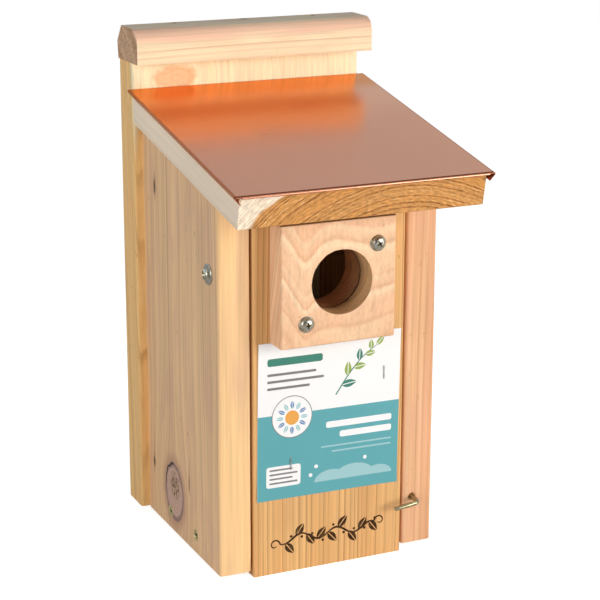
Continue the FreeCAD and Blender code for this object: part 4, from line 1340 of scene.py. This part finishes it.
@dataclass(frozen=True)
class Screw:
    """A cross-recess screw in millimetres. Its seat is at the origin and its head looks along +Z.

    Attributes:
        head: the shape of its head.
        half: the head's radius.
        tall: the head's height above the seat.
        shank: the shank's thickness.
        long: how far the shank runs below the seat.
        recess: how far the driver's recess reaches from the middle.
        depth: how deep the recess is.
        levels: heights from the crown, each with its share of the recess's reach and width there.
    """

    head: Head
    half: float
    tall: float
    shank: float
    long: float
    recess: float
    depth: float
    levels: tuple[Point, ...] = ((-0.26, 0.94, 0.95), (-0.1, 1.0, 1.0), (0.5, 1.16, 1.5))

    def crown(self) -> float:
        """The height at which the driver's recess opens."""
        return self.tall if self.head is not Head.FLAT else 0.0

    def tip(self) -> list[Flat]:
        """The half section of the shank's pointed end."""
        core, wide, end = self.shank / 2.0, self.shank, self.long
        return [(0.0, -end), (core * 0.55, 0.7 * wide - end), (core, 1.4 * wide - end)]

    def profile(self) -> list[Flat]:
        """The half section, from the tip to the crown.

        Returns:
            Its points.
        """
        core, rim, tall = self.shank / 2.0, self.half, self.tall
        if self.head is Head.FLAT:
            cone = [(core, core - rim), (rim - 0.15, -0.2), (rim, -0.1)]
            return self.tip() + cone + [(rim - 0.05, -0.02), (rim - 0.2, 0.0), (0.0, 0.0)]
        dome, low = 0.86 * rim, 0.26 * tall
        brim = [(rim - 0.15, 0.0), (rim, 0.14), (rim - 0.04, 0.42), (rim - 0.22, 0.6), (dome + 0.15, 0.68)]
        if self.head is Head.WASHER:
            dome, low = 0.62 * rim, 0.34 * tall
            brim = brim[:2] + [(rim, 0.17 * tall), (rim - 0.25, 0.27 * tall), (dome + 0.5, 0.3 * tall)]
        angles = [math.radians(angle) for angle in range(2, 90, 8)]
        vault = [(dome * math.cos(angle) ** 0.72, low + (tall - low) * math.sin(angle)) for angle in angles]
        return self.tip() + [(core, 0.0)] + brim + vault + [(0.0, tall)]

    def cross(self) -> Mesh:
        """What the driver's recess takes away: a cross that narrows with depth, its rim eased.

        Returns:
            The mesh.
        """
        bm = bmesh.new()
        rings = []
        for level, long, wide in ((-self.depth, 0.34, 0.62), *self.levels):
            reach, half = self.recess * long, self.recess * 0.24 * wide
            corner = half * 1.25
            arm = [(reach, -half), (reach, half), (corner, corner)]
            ring = []
            for quarter in range(4):
                spin = Matrix.Rotation(math.radians(90 * quarter), 3, "Z")
                ring += [bm.verts.new(spin @ Vector((x, y, self.crown() + level))) for x, y in arm]
            rings.append(ring)
        bridge(bm, rings, len(rings[0]))
        bm.faces.new(rings[0])
        bm.faces.new(rings[-1])
        return bm

    def solid(self, turns: int = 56) -> bpy.types.Mesh:
        """The whole screw, whose recess walls have material 1.

        Args:
            turns: facets round the screw.

        Returns:
            The mesh.
        """
        made = carve(lathe(self.profile(), turns), self.cross())
        top = self.crown()
        for face in made.polygons:
            x, y, z = face.center
            deep = top - self.depth - 0.1 < z < top - 0.3
            face.material_index = 1 if deep and math.hypot(x, y) < self.recess else 0
        return made


PAN = Screw(Head.PAN, half=4.85, tall=2.9, shank=4.2, long=32.0, recess=1.85, depth=2.2)
PIVOT = Screw(Head.WASHER, half=6.1, tall=3.3, shank=4.8, long=45.0, recess=2.5, depth=2.5)
FLAT = Screw(Head.FLAT, half=3.695, tall=0.0, shank=3.8, long=42.0, recess=2.3, depth=2.2)


@dataclass
class ScrewSet:
    """The screws at one place of the house. Each seat is a point in millimetres and a turn in degrees."""

    node: str
    screw: Screw
    out: Point
    seats: tuple[tuple[float, float, float, float], ...]
    body: str = "house"

    def build(self, finish: Material, grime_and_shade: Material) -> Thing:
        """Turns the screws, sets them in their seats and plates them.

        Args:
            finish: the plating.
            grime_and_shade: the darker plating deep in a recess, grime with painted shade.

        Returns:
            The screws.
        """
        bm = bmesh.new()
        pattern = self.screw.solid()
        facing = Vector(self.out).to_track_quat("Z", "Y").to_matrix().to_4x4()
        for x, y, z, turn in self.seats:
            one = pattern.copy()
            aim = Matrix.Translation(Vector((x, y, z)) * MM) @ facing
            one.transform(aim @ Matrix.Rotation(math.radians(turn), 4, "Z") @ Matrix.Scale(MM, 4))
            bm.from_mesh(one)
            bpy.data.meshes.remove(one)
        bpy.data.meshes.remove(pattern)
        made = piece(f"{self.node}_turned", bm, [finish, grime_and_shade], self.body, "zinc", 32.0)
        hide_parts(self.node)
        return made


@dataclass
class Latch:
    """The bent pin that turns in the right side board. Lengths in millimetres."""

    pin: Point = (56.4, -20.94, 33.7)
    knee: float = -50.936
    bend: float = 3.2
    arm: float = 16.6
    droop: float = 7.0
    half: float = 1.45

    def build(self, finish: Material) -> Thing:
        """Bends the pin.

        Args:
            finish: its plating.

        Returns:
            The latch.
        """
        start = Vector(self.pin)
        turn = math.radians(self.droop)
        way = Vector((-math.cos(turn), 0.0, -math.sin(turn)))
        elbow = Vector((start.x, self.knee, start.z))
        centre = elbow + way * self.bend
        path = [start, start.lerp(elbow, 0.5)]
        for angle in (math.radians(9 * step) for step in range(11)):
            outward = Vector((0.0, -self.bend * math.sin(angle), 0.0))
            path.append(centre - way * (self.bend * math.cos(angle)) + outward)
        tip = Vector((start.x, self.knee - self.bend, start.z)) + way * self.arm
        path += [path[-1].lerp(tip, 0.5), tip]
        bm = tube([point * MM for point in path], self.half * MM, 24, 0.75)
        made = piece("latch_bent_pin", bm, [finish], "latch", "zinc_pin", 60.0)
        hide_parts("latch_hook")
        return made


class Ink:
    """Thin flat shapes on a sheet that faces -Y. Lengths in millimetres, with z upwards."""

    def __init__(self, level: Callable[[float, float], float], thick: float = 0.03) -> None:
        """Starts with no shapes.

        Args:
            level: the sheet's y at a place.
            thick: how far a shape stands off the sheet.
        """
        self.bm = bmesh.new()
        self.level = level
        self.thick = thick

    def point(self, x: float, z: float, lift: float) -> Corner:
        """A new point at a height above the sheet."""
        return self.bm.verts.new(Vector((x, self.level(x, z) - lift, z)) * MM)

    def patch(self, outline: Sequence[Flat], number: int = 0, layer: int = 1) -> None:
        """A filled shape.

        Args:
            outline: its corners in order.
            number: its material.
            layer: how many layers of ink it lies on, itself included.
        """
        top = [self.point(x, z, self.thick * layer) for x, z in outline]
        low = [self.point(x, z, 0.0) for x, z in outline]
        walls = zip(top, low, low[1:] + low[:1], top[1:] + top[:1])
        for corners in (top, *walls):
            self.bm.faces.new(corners).material_index = number

    def ribbon(self, line: Sequence[Flat], widths: Sequence[float], number: int = 0, layer: int = 1) -> None:
        """A drawn stroke.

        Args:
            line: its middle line.
            widths: its width at each point.
            number: its material.
            layer: how many layers of ink it lies on, itself included.
        """
        left, right = [], []
        for index, ((x, z), wide) in enumerate(zip(line, widths)):
            from_x, from_z = line[max(index - 1, 0)]
            to_x, to_z = line[min(index + 1, len(line) - 1)]
            long = math.hypot(to_x - from_x, to_z - from_z) or 1.0
            side_x = -(to_z - from_z) / long * wide / 2.0
            side_z = (to_x - from_x) / long * wide / 2.0
            left.append((x + side_x, z + side_z))
            right.append((x - side_x, z - side_z))
        for index in range(len(line) - 1):
            self.patch([left[index], left[index + 1], right[index + 1], right[index]], number, layer)

    def bar(self, foot: Flat, size: Flat, number: int = 0, corner: float = 0.4, layer: int = 1) -> None:
        """A bar with rounded corners.

        Args:
            foot: its lower left corner.
            size: its width and height.
            number: its material.
            corner: the radius of its corners.
            layer: how many layers of ink it lies on, itself included.
        """
        (x, z), (wide, tall) = foot, size
        curve = min(corner, 0.499 * wide, 0.499 * tall)
        left, right = x + curve, x + wide - curve
        low, high = z + curve, z + tall - curve
        outline = []
        corners = ((right, high, 0), (left, high, 90), (left, low, 180), (right, low, 270))
        for middle_x, middle_z, start in corners:
            for angle in (math.radians(start + 22.5 * step) for step in range(5)):
                outline.append((middle_x + curve * math.cos(angle), middle_z + curve * math.sin(angle)))
        self.patch(outline, number, layer)

    def disc(self, x: float, z: float, half: float, number: int = 0, layer: int = 1) -> None:
        """A round spot.

        Args:
            x: its middle's x.
            z: its middle's height.
            half: its radius.
            number: its material.
            layer: how many layers of ink it lies on, itself included.
        """
        angles = [math.radians(10 * step) for step in range(36)]
        outline = [(x + half * math.cos(angle), z + half * math.sin(angle)) for angle in angles]
        self.patch(outline, number, layer)

    def leaf(self, stalk: Flat, size: Flat, turn: float, number: int = 0, layer: int = 1) -> None:
        """Two halves of a pointed leaf with a bare vein.

        Args:
            stalk: the foot of its stalk.
            size: its length and width.
            turn: which way it points, in degrees from +X.
            number: its material.
            layer: how many layers of ink it lies on, itself included.
        """
        (x, z), (long, wide) = stalk, size
        cosine, sine = math.cos(math.radians(turn)), math.sin(math.radians(turn))
        vein = 0.05 * wide + 0.06
        for side in (1.0, -1.0):
            outline = []
            for share in (0.0, 0.12, 0.28, 0.45, 0.62, 0.8, 0.93, 1.0):
                belly = math.sin(math.pi * share ** 0.85) ** 0.9
                outline.append((long * share, side * (vein + wide / 2.0 * belly)))
            outline += [(long * share, side * vein) for share in (0.93, 0.12)]
            turned = [
                (x + cosine * along - sine * off, z + sine * along + cosine * off) for along, off in outline]
            self.patch(turned, number, layer)


class Margin(Enum):
    """The side of the card that bars start from, with its x in millimetres."""

    LEFT = -40.0
    RIGHT = 41.0


@dataclass(frozen=True)
class Bars:
    """A block of plain bars on the card, one under the other, in millimetres."""

    margin: Margin
    height: float
    widths: tuple[float, ...]
    tall: float
    tone: Tone
    step: float = 0.0
    corner: float = 0.4
    inset: float = 0.0
    layer: int = 1

    def draw(self, ink: Ink, middle: float) -> None:
        """Draws the bars.

        Args:
            ink: what they are drawn with.
            middle: the height of the card's middle, from which the block's height is measured.
        """
        for index, wide in enumerate(self.widths):
            x = self.margin.value + self.inset
            if self.margin is Margin.RIGHT:
                x -= wide
            foot = (x, middle + self.height - self.step * index)
            ink.bar(foot, (wide, self.tall), self.tone.number(), self.corner, self.layer)


@dataclass
class Label:
    """The stapled card, in millimetres: a white and a teal field with bars, a leafy sprig and a sun badge."""

    middle: Flat = (0.0, 94.9)
    half: Flat = (45.7, 48.2)
    face: float = -45.94
    thick: float = 0.4
    lean: float = -0.8
    shore: float = 4.0
    columns: int = 16
    teal_rows: int = 9
    white_rows: int = 8
    sprig: Flat = (4.0, 12.0)
    sprig_run: Flat = (26.0, 27.0)
    sprig_bow: float = 4.0
    sprig_steps: int = 14
    first_leaf: Flat = (9.5, 4.2)
    last_leaf: Flat = (7.0, 3.0)
    badge: Flat = (-24.0, 2.0)
    badge_half: float = 13.0
    badge_line: float = 0.5
    sun_half: float = 4.4
    sun_drop: float = 0.5
    petals: int = 12
    petal: Flat = (4.8, 2.0)
    petal_ring: float = 5.4
    upper_bars: tuple[Bars, ...] = (
        Bars(Margin.LEFT, 34.0, (35.0,), 4.6, Tone.GREEN, corner=1.4),
        Bars(Margin.LEFT, 28.0, (31.0, 36.0, 27.0), 1.5, Tone.GREY, step=4.2, corner=0.6),
    )
    lower_bars: tuple[Bars, ...] = (
        Bars(Margin.RIGHT, -8.0, (43.0, 34.0), 3.9, Tone.WHITE, step=6.6, corner=1.2),
        Bars(Margin.RIGHT, -20.0, (46.0, 39.0), 1.0, Tone.MIST, step=3.4),
        Bars(Margin.LEFT, -40.5, (22.0,), 13.0, Tone.WHITE, corner=1.6),
        Bars(Margin.LEFT, -38.4, (18.0, 14.8, 18.0, 14.8), 1.0, Tone.GREY, step=-2.7, inset=2.0, layer=2),
    )
    hills: tuple[Flat, ...] = ((2.0, 11.0), (17.0, 14.0), (33.0, 9.0))
    hill_foot: float = -41.0
    hill_rise: float = 0.62
    drops: tuple[Flat, ...] = ((-8.0, -31.0), (-11.5, -36.0), (24.0, -29.5))
    drop_half: float = 1.2
    staple_at: tuple[Flat, ...] = ((35.4, 116.5), (-24.9, 68.5))
    staple_crown: float = -46.27
    staple_foot: float = -40.6
    staple_half: float = 4.0
    wire: float = 0.33

    def level(self, x: float, z: float) -> float:
        """The y of the card's face, which lifts a little at its corners.

        Args:
            x: the place's x.
            z: the place's height.

        Returns:
            The y there.
        """
        across, up = x / self.half[0], (z - self.middle[1]) / self.half[1]
        curl = 0.45 * (abs(across) ** 5) * (abs(up) ** 5)
        return self.face - curl - 0.03 * math.sin(3.1 * across + 1.7 * up)

    def build(self, staple: Material) -> None:
        """Cuts and prints the card and drives its staples.

        Args:
            staple: the staples' finish.
        """
        ink = Ink(self.level)
        self.sheet(ink)
        self.upper(ink)
        self.lower(ink)
        height = self.middle[1] * MM
        spin = Matrix.Translation((0.0, 0.0, height)) @ Matrix.Rotation(math.radians(-self.lean), 4, "Y")
        ink.bm.transform(spin @ Matrix.Translation((0.0, 0.0, -height)))
        finishes = [tone.value.material() for tone in Tone]
        card = piece("label_card_printed", ink.bm, finishes, "front", "card", 30.0)
        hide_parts("label_card")
        self.staples(staple)

    def sheet(self, ink: Ink) -> None:
        """The card itself, white above its shore line and teal below.

        Args:
            ink: what the card is drawn with.
        """
        (x, z), (wide, tall) = self.middle, self.half
        teal, white, right = self.teal_rows, self.white_rows, self.columns
        top = teal + white
        below, above = tall + self.shore, tall - self.shore
        columns = [x - wide + 2.0 * wide * index / right for index in range(right + 1)]
        rows = [z - tall + below * index / teal for index in range(teal + 1)]
        rows += [z + self.shore + above * index / white for index in range(1, white + 1)]
        front = [[ink.point(column, row, 0.0) for column in columns] for row in rows]
        back = [[ink.point(column, row, -self.thick) for column in columns] for row in rows]
        for row in range(top):
            for column in range(right):
                for grid in (front, back):
                    low, high = grid[row][column:column + 2], grid[row + 1][column:column + 2]
                    face = ink.bm.faces.new((low[0], low[1], high[1], high[0]))
                    inked = grid is front and row < teal
                    face.material_index = Tone.TEAL.number() if inked else Tone.WHITE.number()
        loop = [(0, column) for column in range(right)] + [(row, right) for row in range(top)]
        loop += [(top, column) for column in range(right, 0, -1)] + [(row, 0) for row in range(top, 0, -1)]
        for (row, column), (next_row, next_column) in zip(loop, loop[1:] + loop[:1]):
            edge = (front[row][column], front[next_row][next_column])
            ink.bm.faces.new((*edge, back[next_row][next_column], back[row][column]))

    def upper(self, ink: Ink) -> None:
        """A sprig and bars on the white field, and the sun badge across the shore line.

        Args:
            ink: what they are drawn with.
        """
        self.draw_sprig(ink)
        for bars in self.upper_bars:
            bars.draw(ink, self.middle[1])
        self.draw_badge(ink)

    def draw_sprig(self, ink: Ink) -> None:
        """A bowed stem with leaves that shrink towards its tip.

        Args:
            ink: what it is drawn with.
        """
        green, leaf = Tone.GREEN.number(), Tone.LEAF.number()
        (foot, height), (run, climb), steps = self.sprig, self.sprig_run, self.sprig_steps
        stem = []
        for share in (index / steps for index in range(steps + 1)):
            bow = self.sprig_bow * math.sin(3.0 * share)
            stem.append((foot + run * share, self.middle[1] + height + climb * share + bow))
        ink.ribbon(stem, [0.9 - 0.5 * index / steps for index in range(steps + 1)], green)
        long, wide = self.first_leaf
        for index, at in enumerate(range(2, steps, 2)):
            size = (long - 0.7 * index, wide - 0.25 * index)
            ink.leaf(stem[at], size, 88.0 if index % 2 else 8.0, leaf if index % 3 else green)
        ink.leaf(stem[-1], self.last_leaf, 48.0, leaf)

    def draw_badge(self, ink: Ink) -> None:
        """A round badge with a sun and petals round it.

        Args:
            ink: what it is drawn with.
        """
        x, z = self.badge[0], self.middle[1] + self.badge[1]
        sun = z - self.sun_drop
        ink.disc(x, z, self.badge_half, Tone.GREY.number())
        ink.disc(x, z, self.badge_half - self.badge_line, Tone.WHITE.number(), 2)
        ink.disc(x, sun, self.sun_half, Tone.SUN.number(), 3)
        for index in range(self.petals):
            turn = 360.0 / self.petals * index
            angle = math.radians(turn)
            stalk = (x + self.petal_ring * math.cos(angle), sun + self.petal_ring * math.sin(angle))
            tone = Tone.SKY if index % 2 else Tone.MIST
            ink.leaf(stalk, self.petal, turn, tone.number(), 3)

    def lower(self, ink: Ink) -> None:
        """Plain bars, a tag, small hills and drops on the teal field.

        Args:
            ink: what they are drawn with.
        """
        middle = self.middle[1]
        for bars in self.lower_bars:
            bars.draw(ink, middle)
        angles = [math.radians(180 - 12 * step) for step in range(16)]
        for x, half in self.hills:
            tall, foot = self.hill_rise * half, middle + self.hill_foot
            hill = [(x + half * math.cos(angle), foot + tall * math.sin(angle)) for angle in angles]
            ink.patch(hill, Tone.MIST.number())
        for x, up in self.drops:
            ink.disc(x, middle + up, self.drop_half, Tone.WHITE.number())

    def staples(self, finish: Material) -> None:
        """The two staples, each a bent round wire with its legs in the door.

        Args:
            finish: their plating.
        """
        bm = bmesh.new()
        crown, foot, half = self.staple_crown, self.staple_foot, self.staple_half
        for x, z in self.staple_at:
            spots = ((foot, z - half), (crown, z - half), (crown, z + half), (foot, z + half))
            corners = [Vector((x, y, height)) * MM for y, height in spots]
            wire = tube(rounded(corners, 0.8 * MM), self.wire * MM, 10)
            held = bpy.data.meshes.new("held")
            wire.to_mesh(held)
            wire.free()
            bm.from_mesh(held)
            bpy.data.meshes.remove(held)
        made = piece("label_staples_bent", bm, [finish], "front", "zinc_pin", 60.0)
        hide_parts("label_staples")


@dataclass
class Vine:
    """A vine burnt into the foot of the front board. Lengths in millimetres."""

    middle: Flat = (-0.5, 20.5)
    half: float = 31.0
    wave: float = 2.6
    half_wave: float = 11.5
    face: float = -45.54
    curl: float = 3.4
    leaves: int = 9
    leaf_lead: float = 3.6
    leaf_step: float = 6.9
    leaf_size: Flat = (8.4, 4.4)
    berry_half: float = 0.85
    berry_out: Flat = (3.6, 2.2)

    def line(self, x: float) -> float:
        """The stem's height at a place."""
        return self.middle[1] + self.wave * math.sin((x - self.middle[0]) * math.pi / self.half_wave)

    def build(self) -> Thing:
        """Burns the stem, its leaves, berries and the curls at its ends.

        Returns:
            The burnt marks.
        """
        ink = Ink(lambda x, z: self.face, 0.02)
        start = self.middle[0] - self.half
        span = [start + self.half * 2.0 * index / 60 for index in range(61)]
        ink.ribbon([(x, self.line(x)) for x in span], [0.9 + 0.5 * abs(math.sin(0.21 * x)) for x in span])
        for index in range(self.leaves):
            x = start + self.leaf_lead + self.leaf_step * index
            up = 1.0 if index % 2 else -1.0
            ink.leaf((x, self.line(x)), self.leaf_size, up * 52.0 + 4.0 * math.sin(2.0 * index), layer=2)
            berry = x + self.berry_out[0]
            ink.disc(berry, self.line(berry) - up * self.berry_out[1], self.berry_half, layer=2)
        for side in (-1.0, 1.0):
            ink.ribbon(self.curled(side), [1.1 - 0.03 * index for index in range(18)], layer=2)
        burnt = [DOOR_CEDAR.material(Cut.BURNT)]
        return piece("door_burnt_vine", ink.bm, burnt, "front", "cedar_board", 30.0)

    def curled(self, side: float) -> list[Flat]:
        """The curl at an end of the stem.

        Args:
            side: -1 for the left end and 1 for the right one.

        Returns:
            Its middle line.
        """
        end = self.middle[0] + side * self.half
        line = []
        for angle in (index * 0.33 for index in range(18)):
            tight = 1.0 - angle / 9.0
            off = self.curl - self.curl * math.cos(angle) * tight
            line.append((end + side * off, self.line(end) + self.curl * math.sin(angle) * tight))
        return line


@dataclass(frozen=True)
class Lamp:
    """A soft square lamp. Its place and its side are in metres."""

    name: str
    place: Point
    side: float
    watts: float
    colour: Rgb

    def hang(self, aim: Point) -> None:
        """Hangs the lamp so that it faces a point.

        Args:
            aim: the point.
        """
        data = bpy.data.lights.new(self.name, "AREA")
        data.shape = "SQUARE"
        data.size = self.side
        data.energy = self.watts
        data.color = self.colour
        made = bpy.data.objects.new(self.name, data)
        made.location = self.place
        made.rotation_mode = "QUATERNION"
        made.rotation_quaternion = (Vector(aim) - Vector(self.place)).to_track_quat("-Z", "Y")
        bpy.context.scene.collection.objects.link(made)


@dataclass
class Studio:
    """The plain room: camera, soft lamps, pale floor and a white surround that greys towards the ceiling."""

    eye: Point = (-0.4412, -0.9670, 0.4587)
    aim: Point = (-0.01863, -0.04494, 0.16685)
    roll: float = 0.13
    lens: float = 110.8
    lamps: tuple[Lamp, ...] = (
        Lamp("key_lamp", (0.95, -1.35, 0.42), 0.8, 19.4, (1.0, 0.93, 0.84)),
        Lamp("fill_lamp", (-1.5, -0.75, 0.55), 0.9, 9.6, (1.0, 0.97, 0.93)),
    )
    lamp_aim: Point = (0.0, 0.0, 0.16)
    low: float = 0.44
    soft_light: Rgb = (0.93, 0.96, 1.0)
    front_haze: Rgb = (0.58, 0.58, 0.55)
    blue: Rgb = (0.31, 0.47, 0.77)
    horizon: Rgb = (0.62, 0.66, 0.62)
    ceiling: Rgb = (0.6, 0.55, 0.46)
    paper: Rgb = (0.9, 0.9, 0.9)
    paper_glow: float = 0.8

    def build(self) -> None:
        """Builds the room round the object."""
        self.camera()
        self.surround()
        self.floor()
        for lamp in self.lamps:
            lamp.hang(self.lamp_aim)
        bpy.context.scene.view_settings.view_transform = "Standard"

    def camera(self) -> None:
        """Places the camera where the photograph was taken from."""
        data = bpy.data.cameras.new("view")
        data.lens = self.lens
        data.sensor_width = 36.0
        data.clip_start = 0.05
        data.clip_end = 50.0
        made = bpy.data.objects.new("view", data)
        back = (Vector(self.eye) - Vector(self.aim)).normalized()
        right = Vector((0.0, 0.0, 1.0)).cross(back).normalized()
        up = back.cross(right)
        turn = math.radians(self.roll)
        tilted = right * math.cos(turn) + up * math.sin(turn)
        axes = (tilted, back.cross(tilted), back, Vector(self.eye))
        rows = [[axis[row] for axis in axes] for row in range(3)]
        made.matrix_world = Matrix([*rows, [0.0, 0.0, 0.0, 1.0]])
        bpy.context.scene.collection.objects.link(made)
        bpy.context.scene.camera = made

    def surround(self) -> None:
        """White to the eye, a blue and grey sky to shiny metal, and a dimmer light to the rest."""
        world = bpy.data.worlds.new("surround")
        bpy.context.scene.world = world
        world.use_nodes = True
        nodes = Sums(world.node_tree)
        ray = nodes.new("LightPath").outputs
        seen = nodes.number("MAXIMUM", ray["Is Camera Ray"], ray["Is Transmission Ray"])
        _, back, up = nodes.parts(nodes.new("TexCoord").outputs["Generated"])
        stops = ((0.3, self.horizon), (0.52, self.blue), (0.66, self.blue), (0.84, self.ceiling))
        sky = nodes.mix(nodes.rise(back, -0.2, 0.3), self.front_haze, nodes.ramp(up, stops))
        level = nodes.times(nodes.rise(up, 0.1, 0.8, 1.0, 0.32), self.low)
        dim = nodes.light("Background", self.soft_light, level)
        shiny = nodes.light("Background", sky, nodes.rise(back, -0.8, -0.3, 0.27, 1.67))
        white = nodes.light("Background", WHITE, 1.0)
        whole = nodes.blend(seen, nodes.blend(ray["Is Glossy Ray"], dim, shiny), white)
        nodes.plug(whole, nodes.new("OutputWorld").inputs["Surface"])

    def floor(self) -> None:
        """A white paper floor that keeps the object's shadow."""
        bm = bmesh.new()
        bmesh.ops.create_circle(bm, cap_ends=True, segments=64, radius=6.0)
        mesh = bpy.data.meshes.new("floor_paper")
        bm.to_mesh(mesh)
        bm.free()
        floor = bpy.data.objects.new("floor_paper", mesh)
        floor.location.z = -0.0002
        bpy.context.scene.collection.objects.link(floor)
        nodes = Recipe("floor_paper")
        nodes.set(Base_Color=self.paper, Roughness=0.9, Specular_IOR_Level=0.1)
        ray = nodes.new("LightPath").outputs
        strength = nodes.total(nodes.times(ray["Is Glossy Ray"], -0.62), self.paper_glow)
        mirrored = nodes.number("MAXIMUM", ray["Is Glossy Ray"], ray["Is Transmission Ray"])
        seen = nodes.number("MAXIMUM", ray["Is Camera Ray"], mirrored)
        dark = nodes.light("Emission", WHITE, 0.0)
        glow = nodes.blend(seen, dark, nodes.light("Emission", WHITE, strength))
        both = nodes.new("AddShader")
        nodes.plug(nodes.shader.outputs[0], both.inputs[0])
        nodes.plug(glow, both.inputs[1])
        nodes.plug(both.outputs[0], nodes.surface)
        mesh.materials.append(nodes.material)


@dataclass
class Carcass:
    """The boards that stand still: back, cap, sides, floor and roof."""

    boards: list[Board] = field(default_factory=lambda: [
        Board("back_board", BACK_CEDAR, Grain.UP),
        Board("top_cap", CAP_CEDAR, Grain.ACROSS, arris=1.0 * MM),
        Board("left_side", LEFT_CEDAR, Grain.UP, arris=0.8 * MM),
        Board("right_side", RIGHT_CEDAR, Grain.UP, arris=0.8 * MM),
        Board("floor_board", FLOOR_CEDAR, Grain.LEVEL),
        Board("roof_board", ROOF_CEDAR, Grain.BACK, arris=0.8 * MM),
    ])

    def build(self) -> None:
        """Builds and dresses each board."""
        for board in self.boards:
            board.build()


@dataclass
class Front:
    """The swinging front board with its guard block. The hole is its middle's x and z, and its reach."""

    hole: Point = (0.0, 0.1797, 0.0205)

    def build(self) -> None:
        """Builds the front board, the block and the mark that is burnt into the board."""
        Board("door", DOOR_CEDAR, Grain.UP, "front", bored=self.hole).build()
        Board("guard_block", BLOCK_CEDAR, Grain.UP, "front", "cedar_block", bored=self.hole).build()
        Vine().build()


@dataclass
class Hardware:
    """Screws, nails, latch, copper and label. Lengths in millimetres.

    Attributes:
        side: the x of the side boards' outer faces.
        rear: the y of the back board's rear face.
        pivot: the y and height of the pivot screws.
        floor_row: the two y and the height of the floor's screws.
        guard_seat: the x and y of the block's screws, which mirror each other.
        guard_heights: the heights of the right and the left one.
        back_x: the x of the back's screws.
        back_heights: their lower and upper height.
        roof_row: the x and the height of the roof's screws from behind.
    """

    side: float = 69.4
    rear: float = 94.96
    pivot: Flat = (-31.535, 184.4)
    floor_row: Point = (-6.135, 36.265, 15.3)
    guard_seat: Flat = (22.3, -61.74)
    guard_heights: Flat = (200.2, 157.2)
    back_x: float = 59.5
    back_heights: Flat = (52.1, 202.1)
    roof_row: Flat = (45.0, 263.43)

    def screws(self) -> list[ScrewSet]:
        """The clear zinc screws.

        Returns:
            Their sets.
        """
        side, rear = self.side, self.rear
        (x, y), (right, left) = self.guard_seat, self.guard_heights
        guard = ((x, y, right, 28.0), (-x, y, left, 4.0))
        x, (low, high) = self.back_x, self.back_heights
        back = ((-x, rear, low, 10.0), (-x, rear, high, 65.0), (x, rear, low, 40.0), (x, rear, high, 25.0))
        x, height = self.roof_row
        roof = ((-x, rear, height, 33.0), (x, rear, height, 80.0))
        return [
            ScrewSet("guard_screws", PAN, (0.0, -1.0, 0.0), guard, "front"),
            ScrewSet("pivot_screw_left", PIVOT, (-1.0, 0.0, 0.0), ((-side, *self.pivot, 20.0),), "front"),
            ScrewSet("pivot_screw_right", PIVOT, (1.0, 0.0, 0.0), ((side, *self.pivot, 55.0),), "front"),
            ScrewSet("back_screws", FLAT, (0.0, 1.0, 0.0), back),
            ScrewSet("roof_back_screws", FLAT, (0.0, 1.0, 0.0), roof),
        ]

    def yellow(self) -> list[ScrewSet]:
        """The yellow zinc screws of the floor.

        Returns:
            Their sets.
        """
        side, (front, back, height) = self.side, self.floor_row
        left = ((-side, front, height, 36.0), (-side, back, height, 12.0))
        right = ((side, front, height, 20.0), (side, back, height, 70.0))
        return [
            ScrewSet("floor_screws_left", FLAT, (-1.0, 0.0, 0.0), left),
            ScrewSet("floor_screws_right", FLAT, (1.0, 0.0, 0.0), right),
        ]

    def build(self) -> None:
        """Builds and plates the small parts and dresses those that are carried over."""
        zinc, gold = ZINC.material(), ZINC_YELLOW.material()
        # the recess walls get darker plating, grime and painted shade
        recess_shade, pin, grime_and_shade = ZINC_RECESS_SHADE.material(), ZINC_PIN.material(), ZINC_GRIME_AND_SHADE.material()
        for group, finish, hollow in ((self.screws(), zinc, grime_and_shade), (self.yellow(), gold, recess_shade)):
            for one in group:
                one.build(finish, hollow)
        Latch().build(pin)
        Label().build(STAPLE_WIRE.material())
        for node in ("cap_nails", "roof_screws"):
            dress(node, zinc)
        dress("copper_cover", CopperSheet().material())


def main() -> None:
    """Builds the room and the house and reports each piece."""
    logging.basicConfig(level=logging.INFO, format="%(message)s")
    Studio().build()
    Carcass().build()
    Front().build()
    Hardware().build()


if __name__ == "__main__":
    main()
